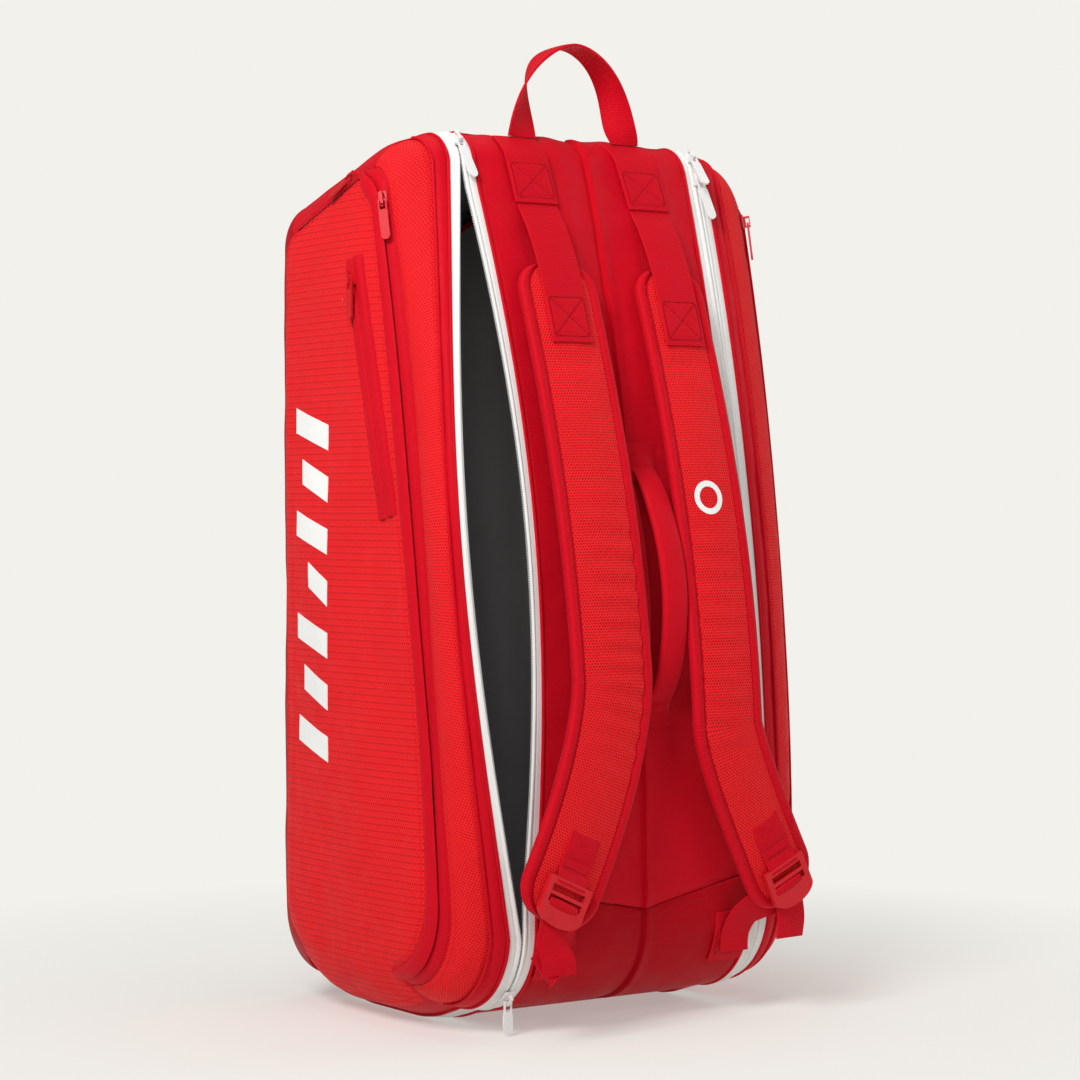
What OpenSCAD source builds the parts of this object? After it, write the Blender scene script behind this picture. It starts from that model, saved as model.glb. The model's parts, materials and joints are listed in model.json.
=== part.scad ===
// Racket tournament bag standing on its bottom end, shoulder straps towards -Y.
// Two racket compartments sit left (-X) and right (+X) of a middle divider. Each
// has a tray-shaped cover that hinges at the far side and closes with a long zip
// beside the strap face. The left mouth stands ajar, the right one is zipped.

/* [Bag] */
// Height of the bag without its haul loop
bag_h = 766; // [750:2:780]
// Half the width over the side panels
half_w = 199; // [195:1:203]
// Depth of the strap face in front of the origin
front_d = 173; // [170:1:176]
// Depth of the base panel behind the origin
back_d = 151; // [148:1:156]
// Height of the base panel
back_h = 722; // [714:2:728]
// Radius of the backward lean of the strap face
lean_r = 2150; // [2050:50:2300]
// Thickness of the padded body panels
panel_t = 4; // [3:0.5:5]

/* [Main zips] */
// Distance from the middle to a closed main zip
zip_x = 125; // [123:1:127]
// Width of one side of the zip tape
tape_w = 11.5; // [9:0.5:12]
// Thickness of the zip tape
tape_t = 1.6; // [1.2:0.1:2]
// Outward bow of the open cover edge at the middle of its height
mouth_bow = 58; // [20:1:60]
// Inward sag of the body edge beside the open mouth
mouth_sag = 16; // [0:1:18]

/* [Shoulder straps] */
// Half the width of the left shoulder pad, the right one lies a little narrower
pad_hw = 40; // [38:1:41]
// How much narrower each half of the right shoulder pad is
right_pad_trim = 4; // [0:1:5]
// Thickness of a shoulder pad
pad_t = 11; // [8:1:12]
// Half the width of the upper webbing
web_hw = 21; // [17:1:22]
// Half the width of the lower webbing
stub_hw = 16; // [14:1:17]

/* [Haul loop and carry handles] */
// Height of the haul loop above the bag
loop_h = 82; // [70:2:90]
// Distance from the middle to each leg of the haul loop
loop_x = 55; // [50:1:60]
// Half the width of the haul loop's webbing
loop_hw = 14.5; // [12:0.5:16]
// Bow of the right carry handle away from the bag
handle_bow = 32; // [28:1:34]
// How much flatter the left carry handle lies
left_handle_drop = 18; // [15:1:20]
// Half the width of one carry handle
handle_hw = 12.5; // [11:0.5:12.5]

/* [Hidden] */

red = [0.80, 0.04, 0.06];
bright_red = [0.90, 0.12, 0.10];
dark_red = [0.55, 0.00, 0.04];
zip_grey = [0.88, 0.88, 0.87];
inner_grey = [0.13, 0.13, 0.14];

gap = 0.5;                      // clearance between neighbouring pieces
rim_z = 16;                     // height of the lower edge of the bag above the floor
foot_r = 75;                    // roundings of the side-on outline
brow_r = 35;
crown_r = 25;
heel_r = 45;
ridge_y = -30;                  // where the top starts to fall towards the base panel
lean_z = rim_z + 100;           // the strap face is upright below this height
mid = [-15, 388];               // middle of the side panels, as [y, z]

flat_x = 111;                   // the bag starts to round off here
swell = half_w - flat_x;
round_e = 70;                   // how far the rounding draws the outline in
zip_a = asin((zip_x + 1 - flat_x) / swell);
corner_a = 68;                  // angle of the accessory zip on the rounding
fold_a = corner_a - 5;          // the open front gusset bends outwards from here
pocket_a = corner_a - 0.7;      // slit of the accessory zip
slit_a = 0.9;                   // half the width of that slit
strip_a = asin((zip_x + 1 + tape_w - flat_x) / swell);

// --- outline seen from the side, as lists of [y, z] ---

function arc(c, r, a0, a1, n) =
  [for (i = [0:n]) let (a = a0 + (a1 - a0) * i / n) c + r * [cos(a), sin(a)]];

function front_y(z) =
  let (h = max(z, lean_z) - lean_z) lean_r - front_d - sqrt(lean_r ^ 2 - h ^ 2);

lean_a = asin((bag_h - brow_r * 0.7 - lean_z) / lean_r);
brow_z = bag_h - brow_r * (1 - sin(lean_a));
brow_c = [front_y(brow_z) + brow_r * cos(lean_a), bag_h - brow_r];
foot_c = [foot_r - front_d, rim_z + foot_r];

function face(z0, z1, n) =
  [for (i = [0:n]) let (z = z0 + (z1 - z0) * i / n) [front_y(z), z]];

function part_of(path, i0, i1) = [for (i = [i0:i1]) path[i]];

foot = arc(foot_c, foot_r, 270, 180, 6);
brow = arc(brow_c, brow_r, 180 - lean_a, 90, 4);
crown = arc([back_d - crown_r, back_h - crown_r], crown_r, 74, 0, 3);
heel = arc([back_d - heel_r, rim_z + heel_r], heel_r, 0, -90, 4);
sole = [[back_d - heel_r, rim_z], [78, 4], [55, 0], [-35, 0], [-62, 4], foot[0]];
ridge = [ridge_y, bag_h];

// --- surfaces and thin sheets ---

function unit(v) = v / norm(v);
function clamp01(u) = max(0, min(1, u));
function lerp(a, b, u) = a + (b - a) * u;
function flip(list) = [for (i = [len(list) - 1:-1:0]) list[i]];

// Draws an outline in towards the middle of the side panel by e
function inset(p, e) =
  mid + [(p[0] - mid[0]) * (1 - e / 160), (p[1] - mid[1]) * (1 - e / 420)];

// Bow of the left cover edge and sag of the left body edge at height z
function mouth_out(z) = mouth_bow * sin(180 * clamp01((z - rim_z - 64) / 662));
function mouth_in(z) = mouth_sag * sin(180 * clamp01((z - rim_z - 100) / 600));

// A point of a cover: s is the side, fi the angle on the rounding, p the outline point
function cover_pt(s, fi, p, out = 0) =
  let (q = inset(p, round_e * (1 - cos(fi))),
       bow = p[0] < ridge_y ? out * mouth_out(p[1]) : 0,
       w = bow * clamp01((fold_a - fi) / (fold_a - zip_a)))
  [s * (flat_x + swell * sin(fi) + 0.93 * w), q[0] - 0.36 * w, q[1]];

// A point of the strap face, which sags only beside the open mouth on the left
function face_pt(x, p) =
  let (w = x < 0 ? clamp01((-x - 60) / (zip_x - 60)) * mouth_in(p[1]) : 0)
  [x + 0.93 * w, p[0] - 0.36 * w, p[1]];

function grid_n(g, i, j) =
  let (m = len(g) - 1, n = len(g[0]) - 1)
  unit(cross(g[min(i + 1, m)][j] - g[max(i - 1, 0)][j], g[i][min(j + 1, n)] - g[i][max(j - 1, 0)]));

// Moves a grid d outwards along its normals
function shifted(g, d) =
  [for (i = [0:len(g) - 1]) [for (j = [0:len(g[0]) - 1]) g[i][j] + d * grid_n(g, i, j)]];

function quad(a, b, c, d) = [[a, b, c], [a, c, d]];

// A sheet of thickness t below the grid g, whose rows run along +X and columns along the outline
module sheet(g, t) {
  m = len(g);
  n = len(g[0]);
  pts = concat([for (r = g) each r], [for (r = shifted(g, -t)) each r]);
  o = m * n;
  skins = [for (i = [0:m - 2], j = [0:n - 2]) let (k = i * n + j)
    each concat(quad(k, k + 1, k + n + 1, k + n),
                quad(o + k, o + k + n, o + k + n + 1, o + k + 1))];
  ends = [for (j = [0:n - 2]) let (k = (m - 1) * n + j)
    each concat(quad(j + 1, j, o + j, o + j + 1), quad(k, k + 1, o + k + 1, o + k))];
  sides = [for (i = [0:m - 2]) let (k = i * n, l = k + n - 1)
    each concat(quad(k, k + n, o + k + n, o + k), quad(l + n, l, o + l, o + l + n))];
  polyhedron(pts, concat(skins, ends, sides), convexity = 6);
}

// A flat band of half width hw along path, with lateral directions lat
function band(path, lat, hw) =
  [for (u = [-1, 1]) [for (i = [0:len(path) - 1]) path[i] + u * hw[i] * lat[i]]];

function level(path) = [for (p = path) [1, 0, 0]];
function even(path, hw) = [for (p = path) hw];

// An outline strip of thickness t, extruded from x0 to x1
module strip(path, t, x0, x1) {
  n = len(path) - 1;
  inner = [for (i = [0:n]) let (d = unit(path[min(i + 1, n)] - path[max(i - 1, 0)]))
    path[i] - t * [-d[1], d[0]]];
  translate([x0, 0, 0]) rotate([90, 0, 90])
    linear_extrude(x1 - x0) polygon(concat(path, flip(inner)));
}

// --- body of the bag ---

seam_z = rim_z + 84;            // lower cross seam, a shallow V
function seam(x) = seam_z + 26 * abs(x) / zip_x;
face_x = zip_x - 1 - tape_w - gap;
face_xs = [-face_x, -95, -80, -60, 0, 60, face_x];
top_path = [brow[4] + [3 * gap, 0], ridge, crown[0] - [1.5, -0.45]];
bottom_path = concat([sole[0] - [gap, 0]], part_of(sole, 1, 4), [sole[5] + [gap, 0]]);

module harness_panel() {
  bend = part_of(brow, 1, 4);
  g = [for (x = face_xs) [for (p = concat(face(seam(x), brow_z, 16), bend)) face_pt(x, p)]];
  color(red) sheet(g, panel_t);
}

module lower_panel() {
  g = [for (x = face_xs)
    [for (p = concat(foot, face(foot_c[1] + 4, seam(x) - gap, 2))) face_pt(x, p)]];
  color(dark_red) sheet(g, panel_t);
}

module top_end_panel() {
  color(red) strip(top_path, panel_t, -face_x, face_x);
}

module base_panel() {
  color(dark_red) strip(concat(crown, heel), panel_t, -zip_x + 1, zip_x - 1);
}

module bottom_end_panel() {
  color(dark_red) strip(bottom_path, panel_t, -face_x, face_x);
}

module middle_divider() {
  clear = panel_t + 6;
  path = concat(face(seam_z, brow_z - 10, 12), [[ridge_y, bag_h - 4], [back_d - 12, back_h - 16]],
                [[back_d, rim_z + heel_r], [60, 14], [-60, 14]]);
  n = len(path);
  inner = [for (p = path) p + clear * unit(mid - p)];
  color(inner_grey) translate([-2, 0, 0]) rotate([90, 0, 90]) linear_extrude(4) polygon(inner);
}

module bottom_board() {
  color(inner_grey) {
    for (s = [-1, 1])
      translate([s * 58 - 52, -33, panel_t + gap]) cube([104, 86, 3]);
  }
}

module harness_foam() {
  path = face(seam_z + 50, brow_z - 30, 14);
  for (s = [-1, 1]) {
    xs = s > 0 ? [6, 90] : [-84, -60, -6];
    g = [for (x = xs) [for (p = path) face_pt(x, p)]];
    color(inner_grey) sheet(shifted(g, -panel_t - 1), 5);
  }
}

handle_z0 = 277;
handle_z1 = 476;

module handle_patch() {
  path = face(handle_z0 - 22, handle_z1 + 22, 6);
  color(red) sheet(shifted([for (x = [-30, 30]) [for (p = path) face_pt(x, p)]], 2.2), 1.6);
}

// The main zips run over both ends of the bag as well as along the strap face
zip_path = concat(part_of(bottom_path, 0, 4), foot, face(foot_c[1] + 15, brow_z, 22),
                  part_of(brow, 1, 4), part_of(top_path, 1, 2));

module body_zip_tape(s) {
  xs = s > 0 ? [zip_x - 1 - tape_w, zip_x - 1] : [1 - zip_x, 1 - zip_x + tape_w];
  color(zip_grey) sheet([for (x = xs) [for (p = zip_path) face_pt(x, p)]], tape_t);
}

haul_z0 = 702;                  // foot of the webbing sewn to the strap face

// The two haul webbings lean towards +X on their way down
function haul_x(s, z) = lerp(s < 0 ? -58 : 62, s < 0 ? -63 : 53, (z - haul_z0) / (bag_h - haul_z0));

module haul_webbing(s) {
  hw = web_hw + 1;
  path = concat(face(haul_z0, brow_z, 2), [brow[1], brow[2]]);
  g = [for (u = [-hw, hw]) [for (p = path) [haul_x(s, p[1]) + u, p[0], p[1]]]];
  color(bright_red) sheet(shifted(g, 2.4), 1.8);
}

// --- shoulder straps ---

strap_top = 650;
strap_foot = 104;
function strap_u(z) = (strap_top - z) / (strap_top - strap_foot);
function strap_x(s, z) = s < 0 ? -56 - 0.035 * max(0, 300 - z) ^ 1.43
                               : 63 + 0.099 * max(0, 255 - z) ^ 1.3;
function standoff(z) = 16 + 28 * sin(130 * clamp01(strap_u(z)));

// A point at height z on a strap, raised by lift above the outer face of its pad
function strap_pt(s, z, lift) =
  [strap_x(s, z), front_y(z) - standoff(z) - lift, z];

function strap_path(s, z0, z1, lift, n) =
  [for (i = [0:n]) strap_pt(s, z0 + (z1 - z0) * i / n, lift)];

function across(path) =
  [for (i = [0:len(path) - 1]) let (d = path[min(i + 1, len(path) - 1)] - path[max(i - 1, 0)])
    unit([d[2], 0, -d[0]])];

module shoulder_pad(s) {
  path = strap_path(s, strap_foot, strap_top, 0, 24);
  n = len(path) - 1;
  full = pad_hw - (s < 0 ? 0 : right_pad_trim);
  hw = [for (i = [0:n]) full * (i == 0 ? 0.62 : i == n ? 0.72 : i == 1 ? 0.82 : 1)];
  color(bright_red) sheet(band(path, across(path), hw), pad_t);
}

module strap_webbing(s) {
  x = haul_x(s, haul_z0);
  low = strap_path(s, 582, strap_top - 4, 3, 4);
  high = [[x, front_y(676) - 14, 676], [x, front_y(691) - 8, 691], [x, front_y(700) - 3, 700]];
  path = concat(low, high);
  color(red) sheet(band(path, level(path), even(path, web_hw)), 2);
}

module stub_webbing(s) {
  path = strap_path(s, 139, 176, 3, 3);
  color(red) sheet(band(path, across(path), even(path, stub_hw)), 2);
}

lock_z = 118;
lock_a = 25;                    // lean of the buckle, along the foot of the strap

// Places children at the buckle, with +Z up along the strap and -Y outwards
module at_lock(s) {
  translate(strap_pt(s, lock_z, 5.5)) rotate([0, -s * lock_a, 0]) children();
}

module ladder_lock(s) {
  w = 45;
  h = 38;
  slot_w = 34;
  color(red) at_lock(s) difference() {
    rotate([90, 0, 0]) linear_extrude(4.5, center = true) union() {
      translate([-w / 2, -h / 2 + 10]) square([w, h - 10]);
      translate([0, -h / 2 + 10]) scale([1, 0.5]) circle(d = w, $fn = 48);
    }
    for (z = [11, 2])
      translate([-slot_w / 2, -5, z - 4]) cube([slot_w, 10, 6]);
  }
}

module webbing_tail(s) {
  a = strap_pt(s, 92, 3);
  b = a + [-s * 10, -2, -22];
  c = a + [-s * 4, 5, -40];
  path = [c, b, a];
  color(bright_red) sheet(band(path, level(path), even(path, stub_hw)), 2);
}

tab_x = 92;

module anchor_tabs() {
  for (s = [-1, 1]) anchor_tab(s);
}

module anchor_tab(s) {
  g = [for (x = [s * tab_x - 18, s * tab_x + 18])
    [for (p = [foot[4], foot[5], foot[6]]) face_pt(x, p)]];
  color(red) sheet(shifted(g, 2.2), 1.6);
}

// The webbing below the buckle, from its anchor tab to just behind the foot of the strap
module adjuster_webbing(s) {
  path = [[s * (tab_x + 2), front_y(80) - 3.2, 80], [s * (tab_x + 5), front_y(87) - 10, 87],
          [s * (tab_x + 9), front_y(94) - 20, 94]];
  color(red) sheet(band(path, level(path), even(path, stub_hw)), 1.8);
}

// --- haul loop and carry handles ---

// The webbing turns a quarter on each leg, and its right leg leans inwards
module haul_loop() {
  n = 24;
  foot_z = brow[2][1] + 5.5;
  rise = bag_h + loop_h - foot_z;
  lean = 12;
  angles = [for (i = [0:n]) 180 * i / n];
  path = [for (a = angles)
    [-loop_x * cos(a) - lean * sin(180 * clamp01((a - 80) / 100)) ^ 0.4, brow[2][0] - 0.5,
     foot_z + rise * sin(a) ^ 0.62]];
  lat = [for (a = angles) let (h = sin(a) ^ 0.62, b = a < 90 ? 90 * clamp01(1.15 * h) : 180 - 90 * sqrt(h))
    [cos(b), sin(b), 0]];
  color(bright_red) sheet(band(path, lat, even(path, loop_hw)), 2);
}

// The left handle lies flatter, under the edge of the left shoulder strap
module carry_handle(s) {
  n = 14;
  bow = s < 0 ? handle_bow - left_handle_drop : handle_bow;
  path = [for (i = [0:n]) let (z = handle_z0 + (handle_z1 - handle_z0) * i / n)
    [s * (handle_hw + 0.7), front_y(z) - 12 - bow * sin(180 * i / n) ^ 0.7, z]];
  color(red) sheet(band(path, level(path), even(path, handle_hw)), 8);
}

// --- compartment covers ---

cover_front = concat(foot, face(foot_c[1] + 20, brow_z, 20), part_of(brow, 1, 4));

function cover_grid(s, angles, path, out = 0) =
  [for (fi = s > 0 ? angles : flip(angles)) [for (p = path) cover_pt(s, fi, p, out)]];

module front_gusset(s, out) {
  angles = [strip_a + 0.5, 30, 46, fold_a];
  color(bright_red) sheet(cover_grid(s, angles, cover_front, out), 3);
}

module end_gussets(s) {
  color(red) {
    sheet(cover_grid(s, [strip_a + 0.5, 26, 45, fold_a], top_path), 3);
    sheet(cover_grid(s, [strip_a + 0.5, 26, 45, corner_a + 3], bottom_path), 3);
  }
}

module back_gusset(s) {
  angles = [zip_a, 26, 45, corner_a + 3];
  color(dark_red) sheet(cover_grid(s, angles, concat(crown, heel)), 3);
}

module side_panel(s) {
  ring = concat(foot, face(foot_c[1] + 40, brow_z, 10), brow, [ridge], crown, heel,
                part_of(sole, 1, 4));
  color(bright_red) difference() {
    hull() {
      polyhedron([for (fi = [corner_a + 3.5, 78, 90]) for (p = ring) cover_pt(s, fi, p)],
                 [[for (i = [0:3 * len(ring) - 1]) i]]);
      for (p = ring)
        translate(concat([s * (half_w + 4.5)], inset(p, 110))) cube(0.5, center = true);
    }
    if (s < 0) at_small_pocket() translate([-7, -9, -8]) cube([14, 17, small_len + 16]);
  }
}

module cover_zip_tape(s, out) {
  angles = [zip_a, strip_a];
  color(zip_grey) sheet(cover_grid(s, angles, zip_path, out), tape_t);
}

// Its slider runs in the slit between the two tapes
module pocket_zip_tape(s) {
  path = concat(cover_front, part_of(top_path, 1, 2));
  color(red) {
    sheet(cover_grid(s, [fold_a + 0.6, pocket_a - slit_a], path), tape_t);
    sheet(cover_grid(s, [pocket_a + slit_a, corner_a + 3], path), tape_t);
  }
}

small_top = [-half_w - 6, -33, 651];
small_foot = [-half_w - 3.5, -81, 439];
small_len = norm(small_top - small_foot);

// Places children at the foot of the small pocket's zip, +Z along it and -Y outwards
module at_small_pocket() {
  frame_at(small_foot, small_top - small_foot, [-1, 0, 0]) children();
}

module small_pocket_zip_tape() {
  color(red) at_small_pocket() for (x = [-5, 0.8]) translate([x, 0, 0]) cube([4.2, tape_t, small_len]);
}

// --- zip sliders and pulls: locally -Y is outwards and +Z runs up the zip ---

slot = 5.2;                     // room for the tapes between a slider's plates
pivot = 5.4;                    // height of a pull's pivot above the tape
pivot_back = 2.2;               // and its distance down the zip from the middle of the slider
pull_t = 1.8;

// Places children at o, with +Z along d and -Y turned towards n
module frame_at(o, d, n) {
  z = unit(d);
  y = -unit(n - (n * z) * z);
  x = cross(y, z);
  multmatrix([[x[0], y[0], z[0], o[0]], [x[1], y[1], z[1], o[1]], [x[2], y[2], z[2], o[2]]])
    children();
}

// A zip place is [origin, direction up the zip, outward normal]
function lean_place(x, z) =
  let (a = asin((z - lean_z) / lean_r)) [[x, front_y(z), z], [0, sin(a), cos(a)], [0, -cos(a), sin(a)]];

function arc_place(x, c, r, a) =
  [[x, c[0] + r * cos(a), c[1] + r * sin(a)], [0, sin(a), -cos(a)], [0, cos(a), sin(a)]];

function cover_place(s, p, q) =
  let (d = cover_pt(s, pocket_a, q) - cover_pt(s, pocket_a, p),
       w = cover_pt(s, pocket_a + 1, p) - cover_pt(s, pocket_a - 1, p))
  [cover_pt(s, pocket_a, p), d, s * cross(w, d)];

module slider(place, w, tint) {
  color(tint) frame_at(place[0], place[1], place[2]) {
    difference() {
      translate([-w / 2, -2.2, -6.5]) cube([w, 1.6 + slot + 1.4, 13]);
      translate([-w, -0.6, -8]) cube([2 * w, slot, 16]);
    }
    translate([-0.4, -1, -1.5]) cube([0.8, slot + 0.8, 3]);
    difference() {
      translate([-1.2, -pivot - 2.4, -5.2]) cube([2.4, pivot + 0.4, 10.4]);
      translate([-2, -pivot - 1.4, -3.6]) cube([4, 2.9, 7.2]);
    }
  }
}

// A pull of length l and width w that hangs along d from its slider's bail
module pull(place, d, l, w, tint) {
  o = place[0] + pivot * unit(place[2]) - pivot_back * unit(place[1]);
  color(tint) frame_at(o, -d, place[2]) rotate([90, 0, 0])
    linear_extrude(pull_t, center = true) difference() {
      union() {
        translate([0, -l + w / 2]) circle(d = w, $fn = 32);
        translate([-w / 2, -l + w / 2]) square([w, l - 10 - w / 2]);
        translate([-3.8, -10.5]) square([7.6, 11.3]);
      }
      translate([-2.6, -8]) square([5.2, 7.2]);
    }
}

module white_slider(place) {
  slider(place, 9, zip_grey);
}

module white_pull(place, d, l = 38) {
  pull(place, d, l, 9, zip_grey);
}

module red_slider(place) {
  slider(place, 7.4, red);
}

module red_pull(place, d) {
  pull(place, d, 34, 8, red);
}

left_top_place = arc_place(-zip_x, brow_c, brow_r, 134);
left_bottom_place = arc_place(-zip_x, foot_c, foot_r, 229);
right_upper_place = arc_place(zip_x, brow_c, brow_r, 134);
right_lower_place = lean_place(zip_x, 737);
pocket_z = 739;
pocket_end = lerp(ridge, crown[0], 0.06);
function pocket_place(s) =
  cover_place(s, [front_y(pocket_z), pocket_z], [front_y(pocket_z + 1), pocket_z + 1]);
function pocket_end_place(s) =
  let (c = cover_place(s, pocket_end, lerp(ridge, crown[0], 0.2))) [c[0], -c[1], c[2]];

small_place = [lerp(small_foot, small_top, 0.94), small_top - small_foot, [-1, 0, 0]];

// The way a pull lies: against the strap face, or along the top edge of a side panel
function face_lie(x, y) = [x, y, -1];
function edge_lie(s) =
  let (p = pocket_end_place(s)) -unit(p[1]) - 0.2 * s * unit(cross(p[1], p[2]));

harness_panel();
lower_panel();
top_end_panel();
base_panel();
bottom_end_panel();
middle_divider();
bottom_board();
harness_foam();
handle_patch();
body_zip_tape(-1);  // left_body_zip_tape
body_zip_tape(1);  // right_body_zip_tape
haul_webbing(-1);  // left_haul_webbing
haul_webbing(1);  // right_haul_webbing
anchor_tabs();
adjuster_webbing(-1);  // left_adjuster_webbing
adjuster_webbing(1);  // right_adjuster_webbing
haul_loop();
carry_handle(-1);  // left_carry_handle
carry_handle(1);  // right_carry_handle
shoulder_pad(-1);  // left_shoulder_pad
shoulder_pad(1);  // right_shoulder_pad
strap_webbing(-1);  // left_strap_webbing
strap_webbing(1);  // right_strap_webbing
stub_webbing(-1);  // left_stub_webbing
stub_webbing(1);  // right_stub_webbing
ladder_lock(-1);  // left_ladder_lock
ladder_lock(1);  // right_ladder_lock
webbing_tail(-1);  // left_webbing_tail
webbing_tail(1);  // right_webbing_tail
front_gusset(-1, 1);  // left_front_gusset
front_gusset(1, 0);  // right_front_gusset
end_gussets(-1);  // left_end_gussets
end_gussets(1);  // right_end_gussets
back_gusset(-1);  // left_back_gusset
back_gusset(1);  // right_back_gusset
side_panel(-1);  // left_side_panel
side_panel(1);  // right_side_panel
cover_zip_tape(-1, 1);  // left_cover_zip_tape
cover_zip_tape(1, 0);  // right_cover_zip_tape
pocket_zip_tape(-1);  // left_pocket_zip_tape
pocket_zip_tape(1);  // right_pocket_zip_tape
small_pocket_zip_tape();
white_slider(left_top_place);  // left_top_slider
white_pull(left_top_place, face_lie(0.2, -0.414));  // left_top_pull
white_slider(left_bottom_place);  // left_bottom_slider
white_pull(left_bottom_place, face_lie(0, 0), 27);  // left_bottom_pull
white_slider(right_upper_place);  // right_upper_slider
white_pull(right_upper_place, face_lie(-0.15, -0.95));  // right_upper_pull
white_slider(right_lower_place);  // right_lower_slider
white_pull(right_lower_place, face_lie(0.2, -0.30));  // right_lower_pull
red_slider(pocket_place(-1));  // left_pocket_slider
red_pull(pocket_place(-1), face_lie(0, -0.2));  // left_pocket_pull
red_slider(pocket_place(1));  // right_pocket_slider
red_pull(pocket_place(1), face_lie(0, -0.2));  // right_pocket_pull
red_slider(pocket_end_place(-1));  // left_pocket_end_slider
red_pull(pocket_end_place(-1), edge_lie(-1));  // left_pocket_end_pull
red_slider(pocket_end_place(1));  // right_pocket_end_slider
red_pull(pocket_end_place(1), edge_lie(1));  // right_pocket_end_pull
red_slider(small_place);  // small_pocket_slider
red_pull(small_place, face_lie(0, 0));  // small_pocket_pull
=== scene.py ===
import json
import math

import bpy
import numpy as np
from mathutils import Matrix, Vector
from mathutils.bvhtree import BVHTree

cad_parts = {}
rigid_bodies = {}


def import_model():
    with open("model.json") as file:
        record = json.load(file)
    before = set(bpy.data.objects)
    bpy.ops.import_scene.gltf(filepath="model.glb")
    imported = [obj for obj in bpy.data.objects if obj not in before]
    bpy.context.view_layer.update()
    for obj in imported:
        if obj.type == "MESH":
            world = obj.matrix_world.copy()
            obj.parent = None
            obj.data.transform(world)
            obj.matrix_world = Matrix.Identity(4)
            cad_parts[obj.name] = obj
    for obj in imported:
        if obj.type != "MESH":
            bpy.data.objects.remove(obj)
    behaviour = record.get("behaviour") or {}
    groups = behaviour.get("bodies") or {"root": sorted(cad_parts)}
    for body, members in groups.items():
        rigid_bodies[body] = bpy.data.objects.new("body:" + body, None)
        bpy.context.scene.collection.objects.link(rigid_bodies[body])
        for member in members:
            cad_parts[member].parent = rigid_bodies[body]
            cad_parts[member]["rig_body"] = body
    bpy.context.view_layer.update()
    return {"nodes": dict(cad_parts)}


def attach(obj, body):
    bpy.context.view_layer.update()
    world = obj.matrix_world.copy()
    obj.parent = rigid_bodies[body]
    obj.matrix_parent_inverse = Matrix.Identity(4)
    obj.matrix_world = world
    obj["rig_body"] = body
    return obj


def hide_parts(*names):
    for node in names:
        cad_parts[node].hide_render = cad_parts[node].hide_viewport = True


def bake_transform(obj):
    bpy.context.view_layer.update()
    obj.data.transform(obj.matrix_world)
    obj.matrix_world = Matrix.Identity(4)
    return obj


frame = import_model()

# The form of the bag repeats part.scad's numbers, so lengths here are in millimetres
# and become metres where a mesh is made.
MM = 0.001

# --------------------------------------------------------------------------- form

HALF_W, FRONT_D, BACK_D, BAG_H, BACK_H = 199.0, 173.0, 151.0, 766.0, 722.0
LEAN_R, LEAN_Z, RIM_Z, RIDGE_Y = 2150.0, 116.0, 16.0, -30.0
FOOT_R, BROW_R, CROWN_R, HEEL_R = 75.0, 35.0, 25.0, 45.0
MID = np.array([-15.0, 388.0])
FLAT_X, ROUND_E = 111.0, 70.0
SWELL = HALF_W - FLAT_X
ZIP_X, TAPE_W = 125.0, 11.5
MOUTH_BOW, MOUTH_SAG = 58.0, 16.0
CORNER_A = 68.0
FOLD_A = CORNER_A - 5.0
ZIP_A = math.degrees(math.asin((ZIP_X + 0.5 - FLAT_X) / SWELL))
TAPE_A = math.degrees(math.asin((ZIP_X + 1 + TAPE_W - FLAT_X) / SWELL))
WELT_A = 28.0
SOLE_A = 36.0
FACE_X = ZIP_X - 1 - TAPE_W
SEAM_Z, SEAM_RISE, SEAM_DRIFT = 100.0, 26.0, 4.9
# insets at which the outline of a cover has shrunk to MID, across and upwards
INSET_Y, INSET_Z = 160.0, 420.0
# share of the open mouth's bow that goes sideways, and that goes to the front
BOW_X, BOW_Y = 0.93, 0.36
PANEL_T, COVER_T = 4, 3


def clamp01(u):
    return np.clip(u, 0.0, 1.0)


def smooth(u):
    u = clamp01(u)
    return u * u * (3 - 2 * u)


def front_y(z):
    """The strap face at height z: upright below LEAN_Z, leaning back on one radius above."""
    h = np.maximum(z, LEAN_Z) - LEAN_Z
    return LEAN_R - FRONT_D - np.sqrt(LEAN_R**2 - h**2)


def arc(centre, r, a0, a1, n):
    """Points of an arc of n steps between two angles in degrees."""
    a = np.radians(np.linspace(a0, a1, n + 1))
    return np.stack([centre[0] + r * np.cos(a), centre[1] + r * np.sin(a)], -1)


def sample(path, step):
    """The path again, with points step apart."""
    path = np.asarray(path, float)
    d = np.concatenate([[0], np.cumsum(np.linalg.norm(np.diff(path, axis=0), axis=1))])
    at = np.linspace(0, d[-1], max(2, int(round(d[-1] / step)) + 1))
    return np.stack([np.interp(at, d, path[:, k]) for k in range(path.shape[1])], -1)


def soften(path, passes):
    """The path again, each inner point drawn towards its neighbours in every pass."""
    path = np.array(path, float)
    for _ in range(passes):
        path[1:-1] = (path[:-2] + 2 * path[1:-1] + path[2:]) / 4
    return path


LEAN_A = math.degrees(math.asin((BAG_H - BROW_R * 0.7 - LEAN_Z) / LEAN_R))
BROW_Z = BAG_H - BROW_R * (1 - math.sin(math.radians(LEAN_A)))
BROW_C = (front_y(BROW_Z) + BROW_R * math.cos(math.radians(LEAN_A)), BAG_H - BROW_R)
FOOT_C = (FOOT_R - FRONT_D, RIM_Z + FOOT_R)
STEP = 3.0

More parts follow.
